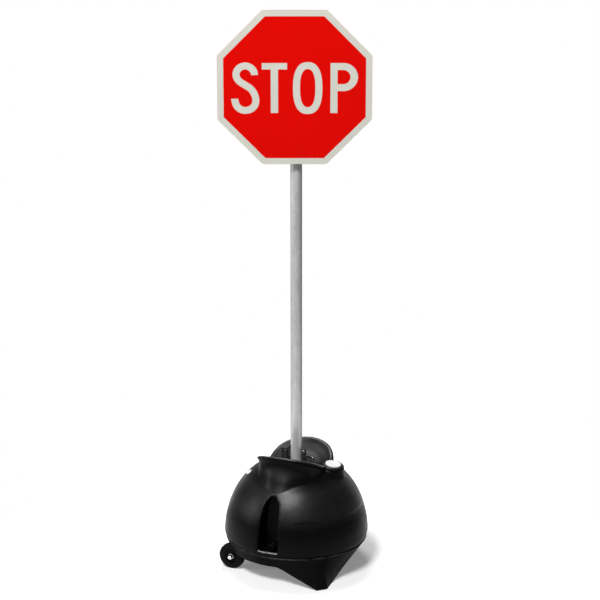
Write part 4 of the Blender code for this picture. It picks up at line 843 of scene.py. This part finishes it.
laid_film("letter_p_bowl", np.stack(sides, 1))


# Floor and lights: a plain pale sweep that shows only a soft shadow, one large soft lamp high on the
# camera's left, one above and behind the post that gives the dome its sheen, and a weak one low on the
# left.
def seen_directly(wire):
    """1 for rays from the camera, from gloss and through glass, 0 for the light that falls on things."""
    camera_ray = wire.node("ShaderNodeLightPath", output="Is Camera Ray")
    glossy_ray = wire.node("ShaderNodeLightPath", output="Is Glossy Ray")
    through_ray = wire.node("ShaderNodeLightPath", output="Is Transmission Ray")
    return (camera_ray + glossy_ray + through_ray).between(0.0, 1.0)


pale_floor = Finish("pale floor", Base_Color=(0.75, 0.75, 0.75, 1), Roughness=0.9, Specular_IOR_Level=0.0,
                    Emission_Strength=1.0)
from_middle = pale_floor.start.node("ShaderNodeVectorMath", {"operation": "LENGTH"},
                                    {0: pale_floor.place}, "Value")
glow = from_middle.between(0.35, 0.72).shade((0.21,) * 3, (1.0,) * 3)
pale_floor.feed(Emission_Color=seen_directly(pale_floor.start).shade((0, 0, 0), glow))
turn = np.linspace(0, 2 * np.pi, 96, endpoint=False)
floor_radius = 1.4
rim = np.stack([floor_radius * np.cos(turn), floor_radius * np.sin(turn), np.zeros(len(turn))], -1)
floor_mesh = bpy.data.meshes.new("floor")
floor_mesh.from_pydata(rim, [], [tuple(range(len(turn)))])
floor_mesh.materials.append(pale_floor.material)
floor = bpy.data.objects.new("floor", floor_mesh)
bpy.context.scene.collection.objects.link(floor)

# The camera stands square to the sign. The backdrop is white to it, and to gloss only where it lies behind
# the object; the rest of the room is dim.
foot = Vector((0, post_y, 0))
camera_right = Vector((math.cos(sign_turn), math.sin(sign_turn), 0))
camera_back = Vector((math.sin(sign_turn), -math.cos(sign_turn), 0))
world = bpy.data.worlds.new("studio")
bpy.context.scene.world = world
world.use_nodes = True
sky = Wire(world.node_tree)
looking = sky.node("ShaderNodeTexCoord", output="Object")
behind = sky.node("ShaderNodeVectorMath", {"operation": "DOT_PRODUCT"},
                  {0: looking, 1: tuple(-camera_back)}, "Value")
above = sky.node("ShaderNodeSeparateXYZ", None, {0: looking}, "Z")
backdrop = behind.between(0.70, 0.95) * (1 - above.between(0.15, 0.45))
camera_ray = sky.node("ShaderNodeLightPath", output="Is Camera Ray")
pale = (camera_ray + seen_directly(sky) * backdrop).between(0.0, 1.0)
background = world.node_tree.nodes["Background"]
background.inputs["Color"].default_value = (1, 1, 1, 1)
world.node_tree.links.new((0.15 + pale * 0.85).socket, background.inputs["Strength"])


def soft_lamp(name, right, back, up, size, power, aim=0.4, tall=1.0):
    """An area lamp aimed at the post, placed from its foot: to the camera's right, towards it, and up."""
    lamp = bpy.data.lights.new(name, "AREA")
    lamp.energy = power
    lamp.shape = "RECTANGLE"
    lamp.size = size
    lamp.size_y = size * tall
    holder = bpy.data.objects.new(name, lamp)
    bpy.context.scene.collection.objects.link(holder)
    holder.location = foot + camera_right * right + camera_back * back + Vector((0, 0, up))
    holder.rotation_euler = (holder.location - foot - Vector((0, 0, aim))).to_track_quat("Z", "Y").to_euler()


soft_lamp("key", -2.1, 4.9, 7.7, 2.2, 810, aim=1.0)
soft_lamp("top", -0.4, -2.7, 5.7, 2.0, 150)
soft_lamp("left", -4.2, 0.4, 1.5, 1.2, 30, tall=1.8)

picture_width, focal_length_in_pixels = 600, 1873.5
camera = bpy.data.cameras.new("camera")
camera.sensor_fit = "HORIZONTAL"
camera.sensor_width = 36
camera.lens = focal_length_in_pixels * camera.sensor_width / picture_width
camera.clip_start, camera.clip_end = 0.1, 100
viewer = bpy.data.objects.new("camera", camera)
bpy.context.scene.collection.objects.link(viewer)
viewer.location = foot + camera_back * 7.373 + camera_right * 0.0150 + Vector((0, 0, 3.160))
viewer.rotation_euler = (math.pi / 2 - math.radians(15.345), 0, sign_turn)
bpy.context.scene.camera = viewer
bpy.context.scene.view_settings.view_transform = "Standard"
